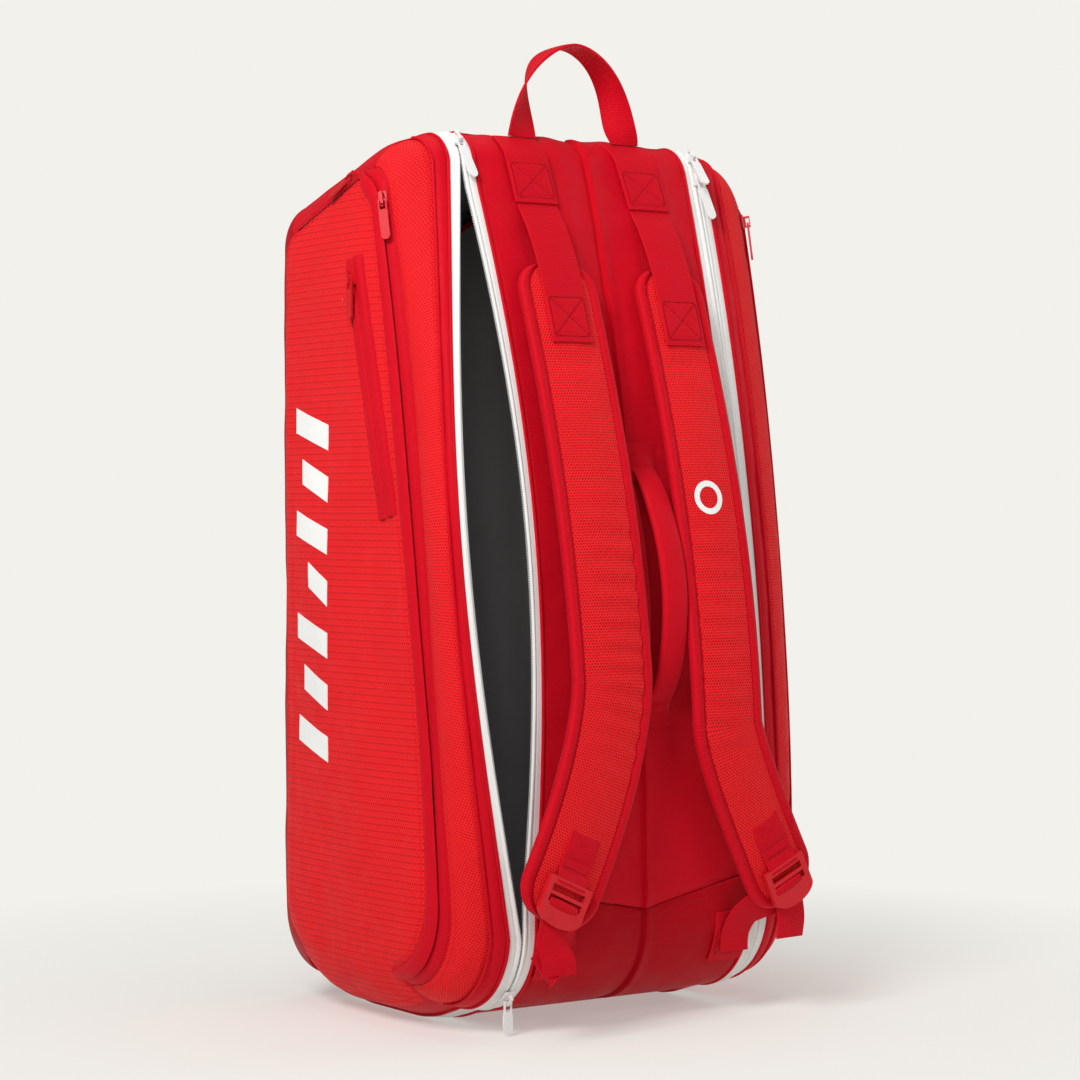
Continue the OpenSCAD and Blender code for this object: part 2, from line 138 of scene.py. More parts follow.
foot = arc(FOOT_C, FOOT_R, 270, 180, 24)
heights = np.arange(FOOT_C[1] + STEP, BROW_Z, STEP)
face = np.stack([front_y(heights), heights], -1)
brow = arc(BROW_C, BROW_R, 180 - LEAN_A, 90, 14)
crown = arc((BACK_D - CROWN_R, BACK_H - CROWN_R), CROWN_R, 74, 0, 9)
heel = arc((BACK_D - HEEL_R, RIM_Z + HEEL_R), HEEL_R, 0, -90, 14)
sole_line = [heel[-1], (78, 4), (55, 0), (-35, 0), (-62, 4), foot[0]]
sole = soften(sample(sole_line, STEP), 12)
sole[:, 1] = np.maximum(sole[:, 1], 0)
top = soften(sample([brow[-1], (RIDGE_Y, BAG_H), crown[0]], STEP), 8)
front = np.concatenate([foot, face, brow])
back = np.concatenate([crown, sample([crown[-1], heel[0]], STEP)[1:-1], heel])


def cover_point(s, fi, path, out=0.0):
    """Points of a cover: s is its side, fi the angle on the rounding, path the outline."""
    r = np.radians(fi)
    y = MID[0] + (path[:, 0] - MID[0]) * (1 - ROUND_E * (1 - np.cos(r)) / INSET_Y)
    z = MID[1] + (path[:, 1] - MID[1]) * (1 - ROUND_E * (1 - np.cos(r)) / INSET_Z)
    bow = MOUTH_BOW * np.sin(np.pi * clamp01((path[:, 1] - RIM_Z - 64) / 662))
    bow = np.where(path[:, 0] < RIDGE_Y, bow, 0)
    w = out * bow * clamp01((FOLD_A - fi) / (FOLD_A - ZIP_A))
    x = s * (FLAT_X + SWELL * np.sin(r) + BOW_X * w)
    return np.stack(np.broadcast_arrays(x, y - BOW_Y * w, z), -1)


def face_point(x, path):
    """Points of the strap face, which sags beside the open mouth on the left."""
    sag = MOUTH_SAG * np.sin(np.pi * clamp01((path[:, 1] - RIM_Z - 100) / 600))
    w = np.where(x < 0, clamp01((-x - 60) / (ZIP_X - 60)), 0) * sag
    return np.stack(np.broadcast_arrays(x + BOW_X * w, path[:, 0] - BOW_Y * w, path[:, 1]), -1)


def unit(v):
    return v / np.maximum(np.linalg.norm(v, axis=-1, keepdims=True), 1e-9)


def normals(grid):
    """Outward normals of a grid whose rows run along +X and columns along the outline."""
    return unit(np.cross(np.gradient(grid, axis=0), np.gradient(grid, axis=1)))


def ripple(points, size, seed, terms=7):
    """Smooth unevenness between about -1 and 1, with bumps of about size."""
    pick = np.random.default_rng(seed)
    total = 0
    for _ in range(terms):
        d = unit(pick.normal(size=3)) * 2 * np.pi / (size * pick.uniform(0.7, 1.8))
        total = total + np.sin(points @ d + pick.uniform(0, 2 * np.pi))
    return total / math.sqrt(terms)


def puff(t, height, edge=1.2, lip=0.12):
    """Height across a sewn strip: full in the middle, drawn down at both seams."""
    side = np.minimum(t, 1 - t)
    return height * smooth(side / 0.5) - edge * (1 - smooth(side / lip))


def cover(s, fi, path, out=0.0, lift=0.0):
    """A grid of a cover, raised by lift, with its rows along +X on either side."""
    fi = np.asarray(fi, float)
    fi = fi[:, None] if fi.ndim == 1 else fi
    grid = cover_point(s, fi, path, out)
    lift = np.broadcast_to(lift, grid.shape[:2])
    if s < 0:
        grid, lift = grid[::-1], lift[::-1]
    return grid + normals(grid) * lift[..., None]


def out_at(out, path):
    """Directions given at some points, spread evenly over a path."""
    at = np.linspace(0, len(out) - 1, len(path))
    return np.stack([np.interp(at, np.arange(len(out)), out[:, k]) for k in range(3)], -1)


# ------------------------------------------------------------------------- meshes

TUBE_SIDES = 8
SHARP_ANGLE = 40


def grid_quads(m, n):
    """The quads between the points of a grid with m rows of n points."""
    k = np.arange(m * n).reshape(m, n)
    return np.stack([k[:-1, :-1], k[1:, :-1], k[1:, 1:], k[:-1, 1:]], -1).reshape(-1, 4)


class Sheaf:
    """Collects quads into one mesh. Every vertex also carries a weave coordinate."""

    def __init__(self):
        self.points, self.weave, self.quads, self.kinds, self.count = [], [], [], [], 0

    def add(self, points, weave, quads, kind):
        """Adds quads given by the numbers of their own points. kind picks the material."""
        self.points.append(points.reshape(-1, 3))
        self.weave.append(weave.reshape(-1, 2))
        self.quads.append(quads + self.count)
        self.kinds.append(np.broadcast_to(kind, len(quads)))
        self.count += len(self.points[-1])

    def slab(self, grid, t, kind=0, inner=None, weave=None):
        """A closed sheet of thickness t below the grid, with another material inside."""
        m, n = grid.shape[:2]
        u = np.zeros((m, n))
        u[1:] = np.cumsum(np.linalg.norm(np.diff(grid, axis=0), axis=2).mean(1))[:, None]
        v = np.zeros((m, n))
        v[:, 1:] = np.cumsum(np.linalg.norm(np.diff(grid, axis=1), axis=2).mean(0))
        uv = np.stack([u, v], -1) if weave is None else weave
        points = np.concatenate([grid.reshape(-1, 3), (grid - t * normals(grid)).reshape(-1, 3)])
        k = np.arange(m * n).reshape(m, n)
        outer = grid_quads(m, n)
        under = outer[:, ::-1] + m * n
        rims = []
        for edge in (k[:, 0], k[-1, :], k[::-1, -1], k[0, ::-1]):
            rims.append(np.stack([edge[1:], edge[:-1], edge[:-1] + m * n, edge[1:] + m * n], -1))
        quads = np.concatenate([outer, under, *rims])
        kinds = np.full(len(quads), kind)
        kinds[len(outer):len(outer) * 2] = kind if inner is None else inner
        self.add(points, np.concatenate([uv.reshape(-1, 2)] * 2), quads, kinds)
        return self

    def loft(self, rings, kind=0):
        """A closed tube through rings of equal size. kind may hold a material per side."""
        n, k = rings.shape[:2]
        i = np.arange(n - 1)[:, None] * k
        j = np.arange(k)[None, :]
        nxt = (j + 1) % k
        quads = np.stack(np.broadcast_arrays(i + j, i + nxt, i + k + nxt, i + k + j), -1)
        h = np.arange(k // 2 - 1)
        first = np.stack([h + 1, h, k - 1 - h, k - 2 - h], -1)
        last = first[:, ::-1] + (n - 1) * k
        quads = np.concatenate([quads.reshape(-1, 4), first, last])
        kinds = np.broadcast_to(kind, (n - 1, k)).ravel()
        kinds = np.concatenate([kinds, np.full(len(first) * 2, np.ravel(kind)[0])])
        along = np.zeros(n)
        along[1:] = np.cumsum(np.linalg.norm(np.diff(rings, axis=0), axis=2).mean(1))
        step = np.linalg.norm(np.diff(rings, axis=1), axis=2).mean(0)
        girth = np.concatenate([[0], np.cumsum(step)])
        weave = np.stack(np.meshgrid(along, girth, indexing="ij")[::-1], -1)
        self.add(rings, weave, quads, kinds)
        return self

    def tube(self, path, r, kind=0, up=(0, 0, 1)):
        """A round cord of radius r along a path. up is any direction off the path."""
        path = np.asarray(path, float)
        tangent = unit(np.gradient(path, axis=0))
        side = unit(np.cross(tangent, np.asarray(up, float) + 1e-6))
        lift = np.cross(side, tangent)
        a = np.linspace(0, 2 * np.pi, TUBE_SIDES, endpoint=False)[:, None]
        rings = path[:, None] + r * (np.cos(a) * side[:, None] + np.sin(a) * lift[:, None])
        return self.loft(rings[:, ::-1], kind)

    def ribbon(self, path, across, half_w, t, curl=0.0):
        """Webbing with rounded selvedges; across holds the sideways direction at each point."""
        path, across = np.asarray(path, float), unit(np.asarray(across, float))
        out = unit(np.cross(across, np.gradient(path, axis=0)))
        half_w = np.broadcast_to(half_w, len(path))[:, None]
        r = t / 2
        a = np.array([-1, -0.97, -0.6, -0.2, 0.2, 0.6, 0.97, 1])
        there_and_back = np.concatenate([a, a[::-1]])[None]
        lateral = there_and_back * half_w
        level = np.array([0, r, r, r, r, r, r, 0, 0, -r, -r, -r, -r, -r, -r, 0])
        level = level[None] + curl * there_and_back**2
        for edge in ([7, 8], [0, 15]):
            level[:, edge] += np.array([0.3, -0.3]) * r
        rings = path[:, None] + lateral[..., None] * across[:, None] + level[..., None] * out[:, None]
        return self.loft(rings)

    def stitches(self, path, out, pitch=3.4, length=2.5, r=0.3, kind=0):
        """A row of raised thread stitches along a path that lies on a surface."""
        path = sample(path, pitch)
        if len(path) < 3:
            return self
        along = unit(np.gradient(path, axis=0))[1:-1]
        centre = path[1:-1]
        out = np.broadcast_to(out, centre.shape) if np.ndim(out) == 1 else out_at(out, path)[1:-1]
        out = unit(out)
        side = unit(np.cross(along, out))
        corners = [math.cos(a) * side + math.sin(a) * out for a in np.radians([45, 135, 225, 315])]
        rings = []
        for e, w in ((-0.5, 0.35), (-0.2, 1.0), (0.2, 1.0), (0.5, 0.35)):
            rings.append(np.stack([centre + e * length * along + w * r * c for c in corners], 1))
        for stitch in np.stack(rings, 1):
            self.loft(stitch, kind)
        return self

    def make(self, name, materials, body, replaces, slot, blend=None):
        """The piece itself, riding on its CAD body and standing for the CAD nodes given; with blend given it
        rides on no body.
        """
        mesh = bpy.data.meshes.new(name)
        points, quads = np.concatenate(self.points) * MM, np.concatenate(self.quads)
        mesh.vertices.add(len(points))
        mesh.vertices.foreach_set("co", points.astype(np.float32).ravel())
        mesh.loops.add(quads.size)
        mesh.loops.foreach_set("vertex_index", quads.astype(np.int32).ravel())
        mesh.polygons.add(len(quads))
        mesh.polygons.foreach_set("loop_start", np.arange(0, quads.size, 4, dtype=np.int32))
        mesh.polygons.foreach_set("material_index", np.concatenate(self.kinds).astype(np.int32))
        mesh.polygons.foreach_set("use_smooth", np.ones(len(quads), bool))
        mesh.update(calc_edges=True)
        uv = mesh.uv_layers.new(name="weave")
        weave = (np.concatenate(self.weave) * MM)[quads.ravel()]
        uv.data.foreach_set("uv", weave.astype(np.float32).ravel())
        mesh.validate()
        mesh.set_sharp_from_angle(angle=math.radians(SHARP_ANGLE))
        for material in materials:
            mesh.materials.append(material)
        piece = bpy.data.objects.new(name, mesh)
        bpy.context.scene.collection.objects.link(piece)
        if blend:
            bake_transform(piece)
        else:
            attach(piece, body)
        if replaces:
            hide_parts(*replaces)
        return piece


# ---------------------------------------------------------------------- materials


class Shader:
    """Builds one procedural material on the weave coordinates, in millimetres."""

    def __init__(self, name, **sockets):
        self.material = bpy.data.materials.new(name)
        self.material.use_nodes = True
        self.tree = self.material.node_tree
        self.bsdf = self.tree.nodes["Principled BSDF"]
        for socket, value in sockets.items():
            self.bsdf.inputs[socket.replace("_", " ")].default_value = value

    def node(self, kind, *inputs, **settings):
        node = self.tree.nodes.new("ShaderNode" + kind)
        for key, value in settings.items():
            setattr(node, key, value)
        for i, value in enumerate(inputs):
            self.feed(node.inputs[i], value)
        return node

    def feed(self, socket, value):
        if isinstance(value, bpy.types.NodeSocket):
            self.tree.links.new(value, socket)
        elif value is not None:
            socket.default_value = value

    def math(self, operation, *inputs):
        return self.node("Math", *inputs, operation=operation).outputs[0]

    def weave(self):
        """The two weave coordinates, in millimetres."""
        uv = self.node("UVMap", uv_map="weave").outputs[0]
        parts = self.node("SeparateXYZ", uv)
        return [self.math("MULTIPLY", parts.outputs[k], 1000.0) for k in (0, 1)]

    def place(self):
        return self.node("TexCoord").outputs["Object"]

    def noise(self, vector, scale, detail=3.0):
        node = self.node("TexNoise", vector)
        node.inputs["Scale"].default_value = scale
        node.inputs["Detail"].default_value = detail
        node.inputs["Roughness"].default_value = 0.55
        return node.outputs[0]

    def wave(self, x, period, phase=0.0):
        """A sine between 0 and 1."""
        turn = self.math("MULTIPLY_ADD", x, 2 * math.pi / period, phase)
        return self.math("MULTIPLY_ADD", self.math("SINE", turn), 0.5, 0.5)

    def spread(self, x, low, high, to_low=0.0, to_high=1.0):
        node = self.node("MapRange", x, low, high, to_low, to_high)
        return node.outputs[0]

    def mix(self, factor, a, b):
        node = self.tree.nodes.new("ShaderNodeMix")
        node.data_type = "RGBA"
        self.feed(node.inputs["Factor"], factor)
        self.feed(node.inputs["A"], a)
        self.feed(node.inputs["B"], b)
        return node.outputs["Result"]

    def bump(self, height, distance, strength=1.0, below=None):
        node = self.node("Bump")
        node.inputs["Strength"].default_value = strength
        node.inputs["Distance"].default_value = distance
        self.feed(node.inputs["Height"], height)
        if below is not None:
            self.feed(node.inputs["Normal"], below)
        return node.outputs[0]

    def finish(self, colour, rough, normal):
        self.feed(self.bsdf.inputs["Base Color"], colour)
        self.feed(self.bsdf.inputs["Roughness"], rough)
        self.feed(self.bsdf.inputs["Normal"], normal)
        return self.material


def tone(colour, k):
    """The colour k times as bright."""
    return (*(min(1.0, c * k) for c in colour), 1.0)


def zigzag(sh, u, v, pitch, row):
    """Rows of slanted dashes whose slant turns round from row to row."""
    lean = sh.math("PINGPONG", sh.math("DIVIDE", v, row), 1.0)
    dash = sh.wave(sh.math("MULTIPLY_ADD", lean, pitch * 0.9, u), pitch)
    gap = sh.math("ABSOLUTE", sh.math("SINE", sh.math("MULTIPLY", v, math.pi / row)))
    return sh.math("MULTIPLY", dash, sh.spread(gap, 0.0, 0.6, 0.25, 1.0))


def dots(sh, u, v, pitch, row):
    """Small round knots in staggered rows, with a slight rib between the rows."""
    a = sh.math("SINE", sh.math("MULTIPLY", u, 2 * math.pi / pitch))
    b = sh.math("SINE", sh.math("MULTIPLY", v, math.pi / row))
    knot = sh.math("MULTIPLY_ADD", sh.math("MULTIPLY", a, b), 0.5, 0.5)
    rib = sh.wave(v, row, 1.2)
    return sh.math("MULTIPLY_ADD", rib, 0.35, sh.math("MULTIPLY", knot, 0.65))


def rib_dots(sh, u, v, pitch, row):
    """Small knots in rows, with a broad soft rib at every second row."""
    knots = dots(sh, u, v, pitch, row)
    return sh.math("MULTIPLY_ADD", sh.wave(v, row * 2), 0.22, sh.math("MULTIPLY", knots, 0.78))


def plain(sh, u, v, pitch, row):
    """Plain weave: threads over and under each other."""
    return sh.math("MULTIPLY_ADD", sh.math("SUBTRACT", sh.wave(u, pitch), 0.5),
                   sh.math("SUBTRACT", sh.wave(v, row), 0.5), 0.5)


def ribs(sh, u, v, pitch, row):
    """Ribs across the width of webbing, broken up by its lengthwise threads."""
    return sh.math("MULTIPLY_ADD", sh.wave(v, row), 0.75, sh.math("MULTIPLY", sh.wave(u, pitch), 0.25))


def glint(colour):
    """The tint of light off a dyed thread: part white, part the dye."""
    top = max(colour)
    return [0.35 + 0.65 * c / top for c in colour]


def fabric(name, colour, weave, pitch, row, depth, relief_shading, rough=0.62, sheen=0.0625):
    """A woven material: raised threads painted lighter and the hollows between them darker, a painted
    highlight and shade of the weave; also mottled, creased and slightly worn.
    """
    tint = tone(glint(colour), 1.0)
    sh = Shader(name, Sheen_Weight=sheen, Sheen_Roughness=0.4, Sheen_Tint=tint,
                Specular_IOR_Level=0.13, Specular_Tint=tint)
    u, v = sh.weave()
    height = weave(sh, u, v, pitch, row)
    place = sh.place()
    patch = sh.noise(place, 14.0, 4.0)
    fine = sh.noise(place, 900.0, 1.0)
    # painted highlight and shade: the colour is lighter where the weave stands high and darker where it
    # sinks
    weave_highlight_and_shade = sh.mix(sh.spread(height, 0.2, 0.8), tone(colour, 1 - relief_shading), tone(colour, 1 + relief_shading))
    worn = sh.mix(sh.spread(patch, 0.35, 0.75, 0.0, 0.22), weave_highlight_and_shade, tone(colour, 0.72))
    dust = tone([c * 0.6 + 0.03 for c in colour], 1.2)
    speck = sh.mix(sh.spread(fine, 0.45, 0.75, 0.0, 0.18), worn, dust)
    roughness = sh.spread(sh.noise(place, 45.0), 0.3, 0.7, rough - 0.07, rough + 0.1)
    folds = sh.bump(sh.noise(place, 26.0), 0.0032, 0.35)
    return sh.finish(speck, roughness, sh.bump(height, depth, 0.9, folds))


def moulded(name, colour, rough, grain=0.00003, wear=(1.0, 1.0, 1.0)):
    """Painted metal or moulded plastic: a fine grain, faint scratches and a rubbed look."""
    sh = Shader(name, Coat_Weight=0.04, Coat_Roughness=0.3, Specular_IOR_Level=0.3)
    place = sh.place()
    patch = sh.noise(place, 120.0)
    stretched = sh.node("Mapping", place, None, None, (900.0, 900.0, 90.0)).outputs[0]
    scratch = sh.noise(stretched, 1.0, 2.0)
    base = sh.mix(sh.spread(patch, 0.4, 0.7, 0.0, 0.3), tone(colour, 1.0), tone(colour, 0.8))
    rubbed = sh.mix(sh.spread(scratch, 0.68, 0.78, 0.0, 0.25), base, tone(wear, 0.8))
    roughness = sh.spread(patch, 0.3, 0.7, rough - 0.08, rough + 0.1)
    return sh.finish(rubbed, roughness, sh.bump(sh.noise(place, 1500.0, 1.0), grain, 0.5))


# the second colour is RED at about three quarters of its brightness: painted shade for the lower, base and
# bottom panels and the back gussets
RED, SHADE_RED, WARM = (0.56, 0.002, 0.012), (0.42, 0.001, 0.008), (0.72, 0.012, 0.016)
shell = fabric("ribbed_shell_cloth", WARM, rib_dots, 2.7, 2.85, 0.0006, 0.30)
mesh_cloth = fabric("gusset_mesh_cloth", WARM, dots, 2.7, 2.5, 0.0006, 0.40)
satin = fabric("smooth_shell_cloth", RED, plain, 0.9, 0.9, 0.00012, 0.08, 0.5, 0.0375)
shaded_satin = fabric("lower_shell_cloth", SHADE_RED, plain, 0.9, 0.9, 0.00012, 0.08, 0.52, 0.03)
band_cloth = fabric("zip_band_cloth", RED, plain, 1.1, 1.1, 0.00018, 0.10, 0.55)
strap_cloth = fabric("strap_mesh_cloth", WARM, dots, 2.7, 2.4, 0.0007, 0.46)
binding = fabric("binding_cloth", RED, ribs, 1.3, 1.6, 0.0002, 0.12, 0.5, 0.05)
webbing = fabric("webbing_cloth", RED, ribs, 1.9, 1.5, 0.00022, 0.14, 0.55, 0.05)
handle_cloth = fabric("handle_cloth", RED, plain, 0.7, 0.7, 0.00008, 0.05, 0.58, 0.075)
thread = fabric("stitch_thread", (0.64, 0.009, 0.016), ribs, 0.4, 0.6, 0.00008, 0.12, 0.5)
# thread of the sewn squares and the stub seam, much darker than the other thread: painted shade of the
# sunken stitch lines
groove_shade_thread = fabric("sewn_square_thread", (0.26, 0.002, 0.006), ribs, 0.4, 0.6, 0.00008, 0.12, 0.5)
lining = fabric("dark_lining", (0.42, 0.42, 0.42), plain, 1.2, 1.2, 0.0002, 0.2, 0.6, 0.025)
tape_cloth = fabric("zip_tape_cloth", (0.80, 0.80, 0.785), zigzag, 1.2, 1.5, 0.00008, 0.03, 0.55, 0.025)
coil = moulded("zip_coil_white", (0.82, 0.82, 0.81), 0.35)
white_paint = moulded("white_painted_metal", (0.78, 0.78, 0.77), 0.32, wear=(0.5, 0.5, 0.5))
red_paint = moulded("red_painted_metal", (0.58, 0.004, 0.010), 0.36, wear=(0.7, 0.05, 0.06))
plastic = moulded("buckle_plastic", (0.60, 0.005, 0.012), 0.42, 0.00005, wear=(0.72, 0.06, 0.07))
print_white = fabric("printed_mark", (0.86, 0.86, 0.85), dots, 2.9, 2.9, 0.0001, 0.03, 0.5, 0.0)

SIDES = (("left", -1), ("right", 1))


# ----------------------------------------------------------------------- the body

FACE_RUN = np.concatenate([[0], np.cumsum(np.linalg.norm(np.diff(front, axis=0), axis=1))])


def run_at(z):
    """Distance along the face outline at height z, below the brow."""
    n = len(foot) + len(face)
    return np.interp(z, front[:n, 1], FACE_RUN[:n])


def lap_seam(d):
    """Section of the centre seam: a fold that laps from the right over the left."""
    left = -1.5 * smooth(1 + d / 6)
    right = -1.5 + 3.9 * smooth(d / 1.2) - 1.9 * smooth((d - 1.2) / 11)
    return np.where(d < 0, left, right)


def face_grid(xs, z_low, z_high, crown_h, seed, rows):
    """The strap face between two heights given for each column, quilted by its seams."""
    t = np.linspace(0, 1, rows)
    grid = []
    for x in xs:
        low = 0.0 if z_low is None else run_at(z_low(x))
        high = FACE_RUN[-1] if z_high is None else run_at(z_high(x))
        at = low + (high - low) * t
        path = np.stack([np.interp(at, FACE_RUN, front[:, k]) for k in (0, 1)], -1)
        drift = SEAM_DRIFT * smooth((path[:, 1] - 250) / 400) * smooth(1.4 - abs(x) / 60)
        grid.append(face_point(x + drift, path))
    grid = np.array(grid)
    u = np.abs(xs)[:, None] / FACE_X
    full = crown_h * (1 - (2 * u - 1) ** 2) * np.sin(np.pi * clamp01(t))[None] ** 0.35
    seam = lap_seam(xs)[:, None]
    edge = -1.3 * (1 - smooth((1 - u) * FACE_X / 5))
    ends = -1.2 * (1 - smooth(np.minimum(t, 1 - t) / 0.015))[None]
    gather = ripple(grid * [1, 1, 0.3], 40, seed + 2) * smooth((grid[..., 2] - 590) / 150)
    lift = full + seam + edge + ends + 0.5 * ripple(grid, 90, seed)
    lift = lift + 0.25 * ripple(grid, 30, seed + 1) + gather
    return grid + normals(grid) * lift[..., None]


def seam_z(x):
    """Height of the seam above the lower panel, which rises towards both sides."""
    return SEAM_Z + SEAM_RISE * abs(x) / ZIP_X


# the columns of the face are closer together over the lapped seam
LAP = [-7, -5, -3.5, -2.2, -1.2, -0.5, 0, 0.3, 0.6, 0.9, 1.2, 2, 3, 4.5, 6.5, 9, 12]
columns = np.linspace(-FACE_X, FACE_X, 90)
xs = np.unique(np.concatenate([columns[(columns < -8) | (columns > 14)], LAP]))
panel = face_grid(xs, seam_z, None, 4.0, 11, 230)
harness = Sheaf().slab(panel, PANEL_T, 0, 1)
for s in (-1, 1):
    k = np.argmin(np.abs(xs - s * (FACE_X - 4)))
    out = normals(panel)[k]
    harness.stitches(panel[k] + 0.15 * out, out, kind=2)
piece = harness.make("strap_panel", [satin, lining, thread], "bag", ["harness_panel"], "ribbed_shell")

low_panel = face_grid(xs, None, lambda x: seam_z(x) - 0.6, 2.5, 21, 70)
lower = Sheaf().slab(low_panel, PANEL_T, 0, 1)
out = normals(low_panel)[:, -5]
lower.stitches(low_panel[:, -5] + 0.1 * out, out, kind=2)
# the lower panel takes the darker copy of the red satin, painted shade
lower.make("lower_panel_cloth", [shaded_satin, lining, thread], "bag", ["lower_panel"], "smooth_shell")


def plain_panel(name, path, half_x, cloth, seed, node, bulge=2.0, flat_floor=False):
    """A panel of the middle of the bag that runs straight across from zip to zip."""
    xs = np.linspace(-half_x, half_x, 70)
    grid = face_point(np.zeros((1, 1)), path) + np.zeros((len(xs), 1, 1))
    grid[..., 0] = xs[:, None]
    u = (xs[:, None] / half_x + 1) / 2
    v = np.linspace(0, 1, len(path))[None]
    lift = bulge * np.sin(np.pi * u) ** 0.5 * np.sin(np.pi * v) ** 0.5 + 0.6 * ripple(grid, 110, seed)
    lift = lift - 1.2 * (1 - smooth(np.minimum(u, 1 - u) / 0.02)) + 0.25 * ripple(grid, 35, seed + 1)
    if flat_floor:
        lift = np.minimum(lift, 0) * smooth((path[:, 1] - 0.5) / 4)[None]
    grid = grid + normals(grid) * lift[..., None]
    sheaf = Sheaf().slab(grid, PANEL_T, 0, 1)
    for row in (2, -3):
        out = normals(grid)[row]
        sheaf.stitches(grid[row] + 0.1 * out, out, kind=2)
    sheaf.make(name, [cloth, lining, thread], "bag", [node], "smooth_shell")


plain_panel("top_panel_cloth", top, FACE_X, satin, 31, "top_end_panel", bulge=3.0)
# the base and bottom panels take the darker copy of the red satin, painted shade
plain_panel("base_panel_cloth", back, ZIP_X - 0.7, shaded_satin, 41, "base_panel", bulge=3.0)
plain_panel("bottom_panel_cloth", sole, FACE_X, shaded_satin, 51, "bottom_end_panel", flat_floor=True)


# --------------------------------------------------------------------- the covers

def band_edges(path, top_end=False):
    """The two edges of the accessory zip band, as angles on the rounding."""
    z = path[:, 1]
    if top_end:
        return np.full(len(path), 61.5), np.full(len(path), 71.0)
    return 51 + 9.5 * smooth((z - 60) / 320), 69 + 15 * smooth((z - 60) / 480)


def strip_fi(low, high, n):
    """Angles from one edge to the other, for each column of a strip."""
    t = np.linspace(0, 1, n)[:, None]
    return np.broadcast_to(low, np.shape(high))[None] * (1 - t) + np.asarray(high)[None] * t


zip_run = np.concatenate([sole[:-1], foot, face, brow, top[1:]])
front_low, front_high = band_edges(front)
top_low, top_high = band_edges(top, True)


def cover_strip(sheaf, s, low, high, path, rows, out, height, kind, inner, seed, edge=1.2):
    """Adds a puffed strip of a cover between two angles, and gives its grid from low to high."""
    fi = strip_fi(low, high, rows)
    flat = cover_point(s, fi, path, out)
    across = np.linspace(0, 1, rows)[:, None]
    lift = puff(across, height, edge) + 0.5 * ripple(flat, 80, seed) + 0.2 * ripple(flat, 28, seed + 1)
    grid = cover(s, fi, path, out, lift)
    sheaf.slab(grid, COVER_T, kind, inner)
    return grid[::-1] if s < 0 else grid


def row_out(grid, k, s):
    """Outward directions along row k of a grid that cover_strip gave."""
    out = normals(grid if s > 0 else grid[::-1])
    return (out if s > 0 else out[::-1])[k]


BACK_EDGE = CORNER_A + 3

for name, s in SIDES:
    # only the left cover stands open
    out = 1.0 if s < 0 else 0.0
    body = name + "_cover"
    gusset = Sheaf()
    ones = np.ones(len(front))
    smooth_strip = cover_strip(gusset, s, TAPE_A * ones, WELT_A * ones, front, 10, out, 1.0, 0, 0, 61)
    mesh_strip = cover_strip(gusset, s, WELT_A * ones, front_low, front, 18, out, 1.5, 1, 2, 63)
    for strip, k in ((smooth_strip, 2), (smooth_strip, -2), (mesh_strip, 2), (mesh_strip, -3)):
        gusset.stitches(strip[k] + 0.1 * row_out(strip, k, s), row_out(strip, k, s), kind=3)
    welt = cover_point(s, WELT_A * ones[None], front, out)[0]
    gusset.tube(welt + 0.8 * row_out(mesh_strip, 0, s), 1.5, 0)
    gusset.make(name + "_front_gusset_cloth", [satin, mesh_cloth, lining, thread], body,
                [name + "_front_gusset"], "ribbed_shell")

    ends = Sheaf()
    top_edge = np.where(np.arange(len(top)) > 0.92 * len(top), BACK_EDGE + 0.3, top_low)
    cover_strip(ends, s, TAPE_A * np.ones(len(top)), top_edge, top, 22, 0, 2.0, 0, 1, 71)
    at = np.arange(len(sole))
    sole_high = BACK_EDGE - (BACK_EDGE - SOLE_A) * smooth(at / 6) * smooth((len(sole) - 1 - at) / 6)
    cover_strip(ends, s, TAPE_A * np.ones(len(sole)), sole_high, sole, 22, 0, 0.0, 0, 1, 73, 0.4)
    ends.make(name + "_end_gussets_cloth", [satin, lining], body, [name + "_end_gussets"], "smooth_shell")

    behind = Sheaf()
    ones = np.ones(len(back))
    cover_strip(behind, s, ZIP_A * ones, BACK_EDGE * ones, back, 26, 0, 2.0, 0, 1, 75)
    # the back gussets take the darker copy of the red satin, painted shade
    behind.make(name + "_back_gusset_cloth", [shaded_satin, lining], body, [name + "_back_gusset"],
                "smooth_shell")

    # accessory zip: a folded flap over a flat band with no coil of its own, from the bottom up and over the
    # top
    keep = len(front) + int(0.93 * (len(top) - 1))
    run = np.concatenate([front, top[1:]])[:keep]
    low = soften(np.concatenate([front_low, top_low[1:]])[:keep], 8)
    high = soften(np.concatenate([front_high, top_high[1:]])[:keep], 8)
    split = low * 0.55 + high * 0.45
    zip_band = Sheaf()
    fi = strip_fi(low, split + 1.3, 9)
    t = np.linspace(0, 1, 9)[:, None]
    grid = cover(s, fi, run, out, puff(t, 0.8, 0.8) - 0.8)
    zip_band.slab(grid, 1.6, 0)
    fi = strip_fi(split, high, 11)
    t = np.linspace(0, 1, 11)[:, None]
    flap = 2.6 * np.sqrt(clamp01(1 - (1.6 * t - 0.75) ** 2)) * smooth((1 - t) / 0.25)
    grid = cover(s, fi, run, out, flap + 0.2)
    zip_band.slab(grid, 1.6, 0)
    for f in (0.22, 0.86):
        line = cover_point(s, (low + (split - low) * f)[None], run, out)[0]
        side = row_out(mesh_strip, -1, s)
        zip_band.stitches(line + 0.2, out_at(side, line), kind=1)
    zip_band.make(name + "_pocket_zip_band", [band_cloth, thread], body, [name + "_pocket_zip_tape"],
                  "pocket_zip_tape")


# -------------------------------------------------------------------- side panels

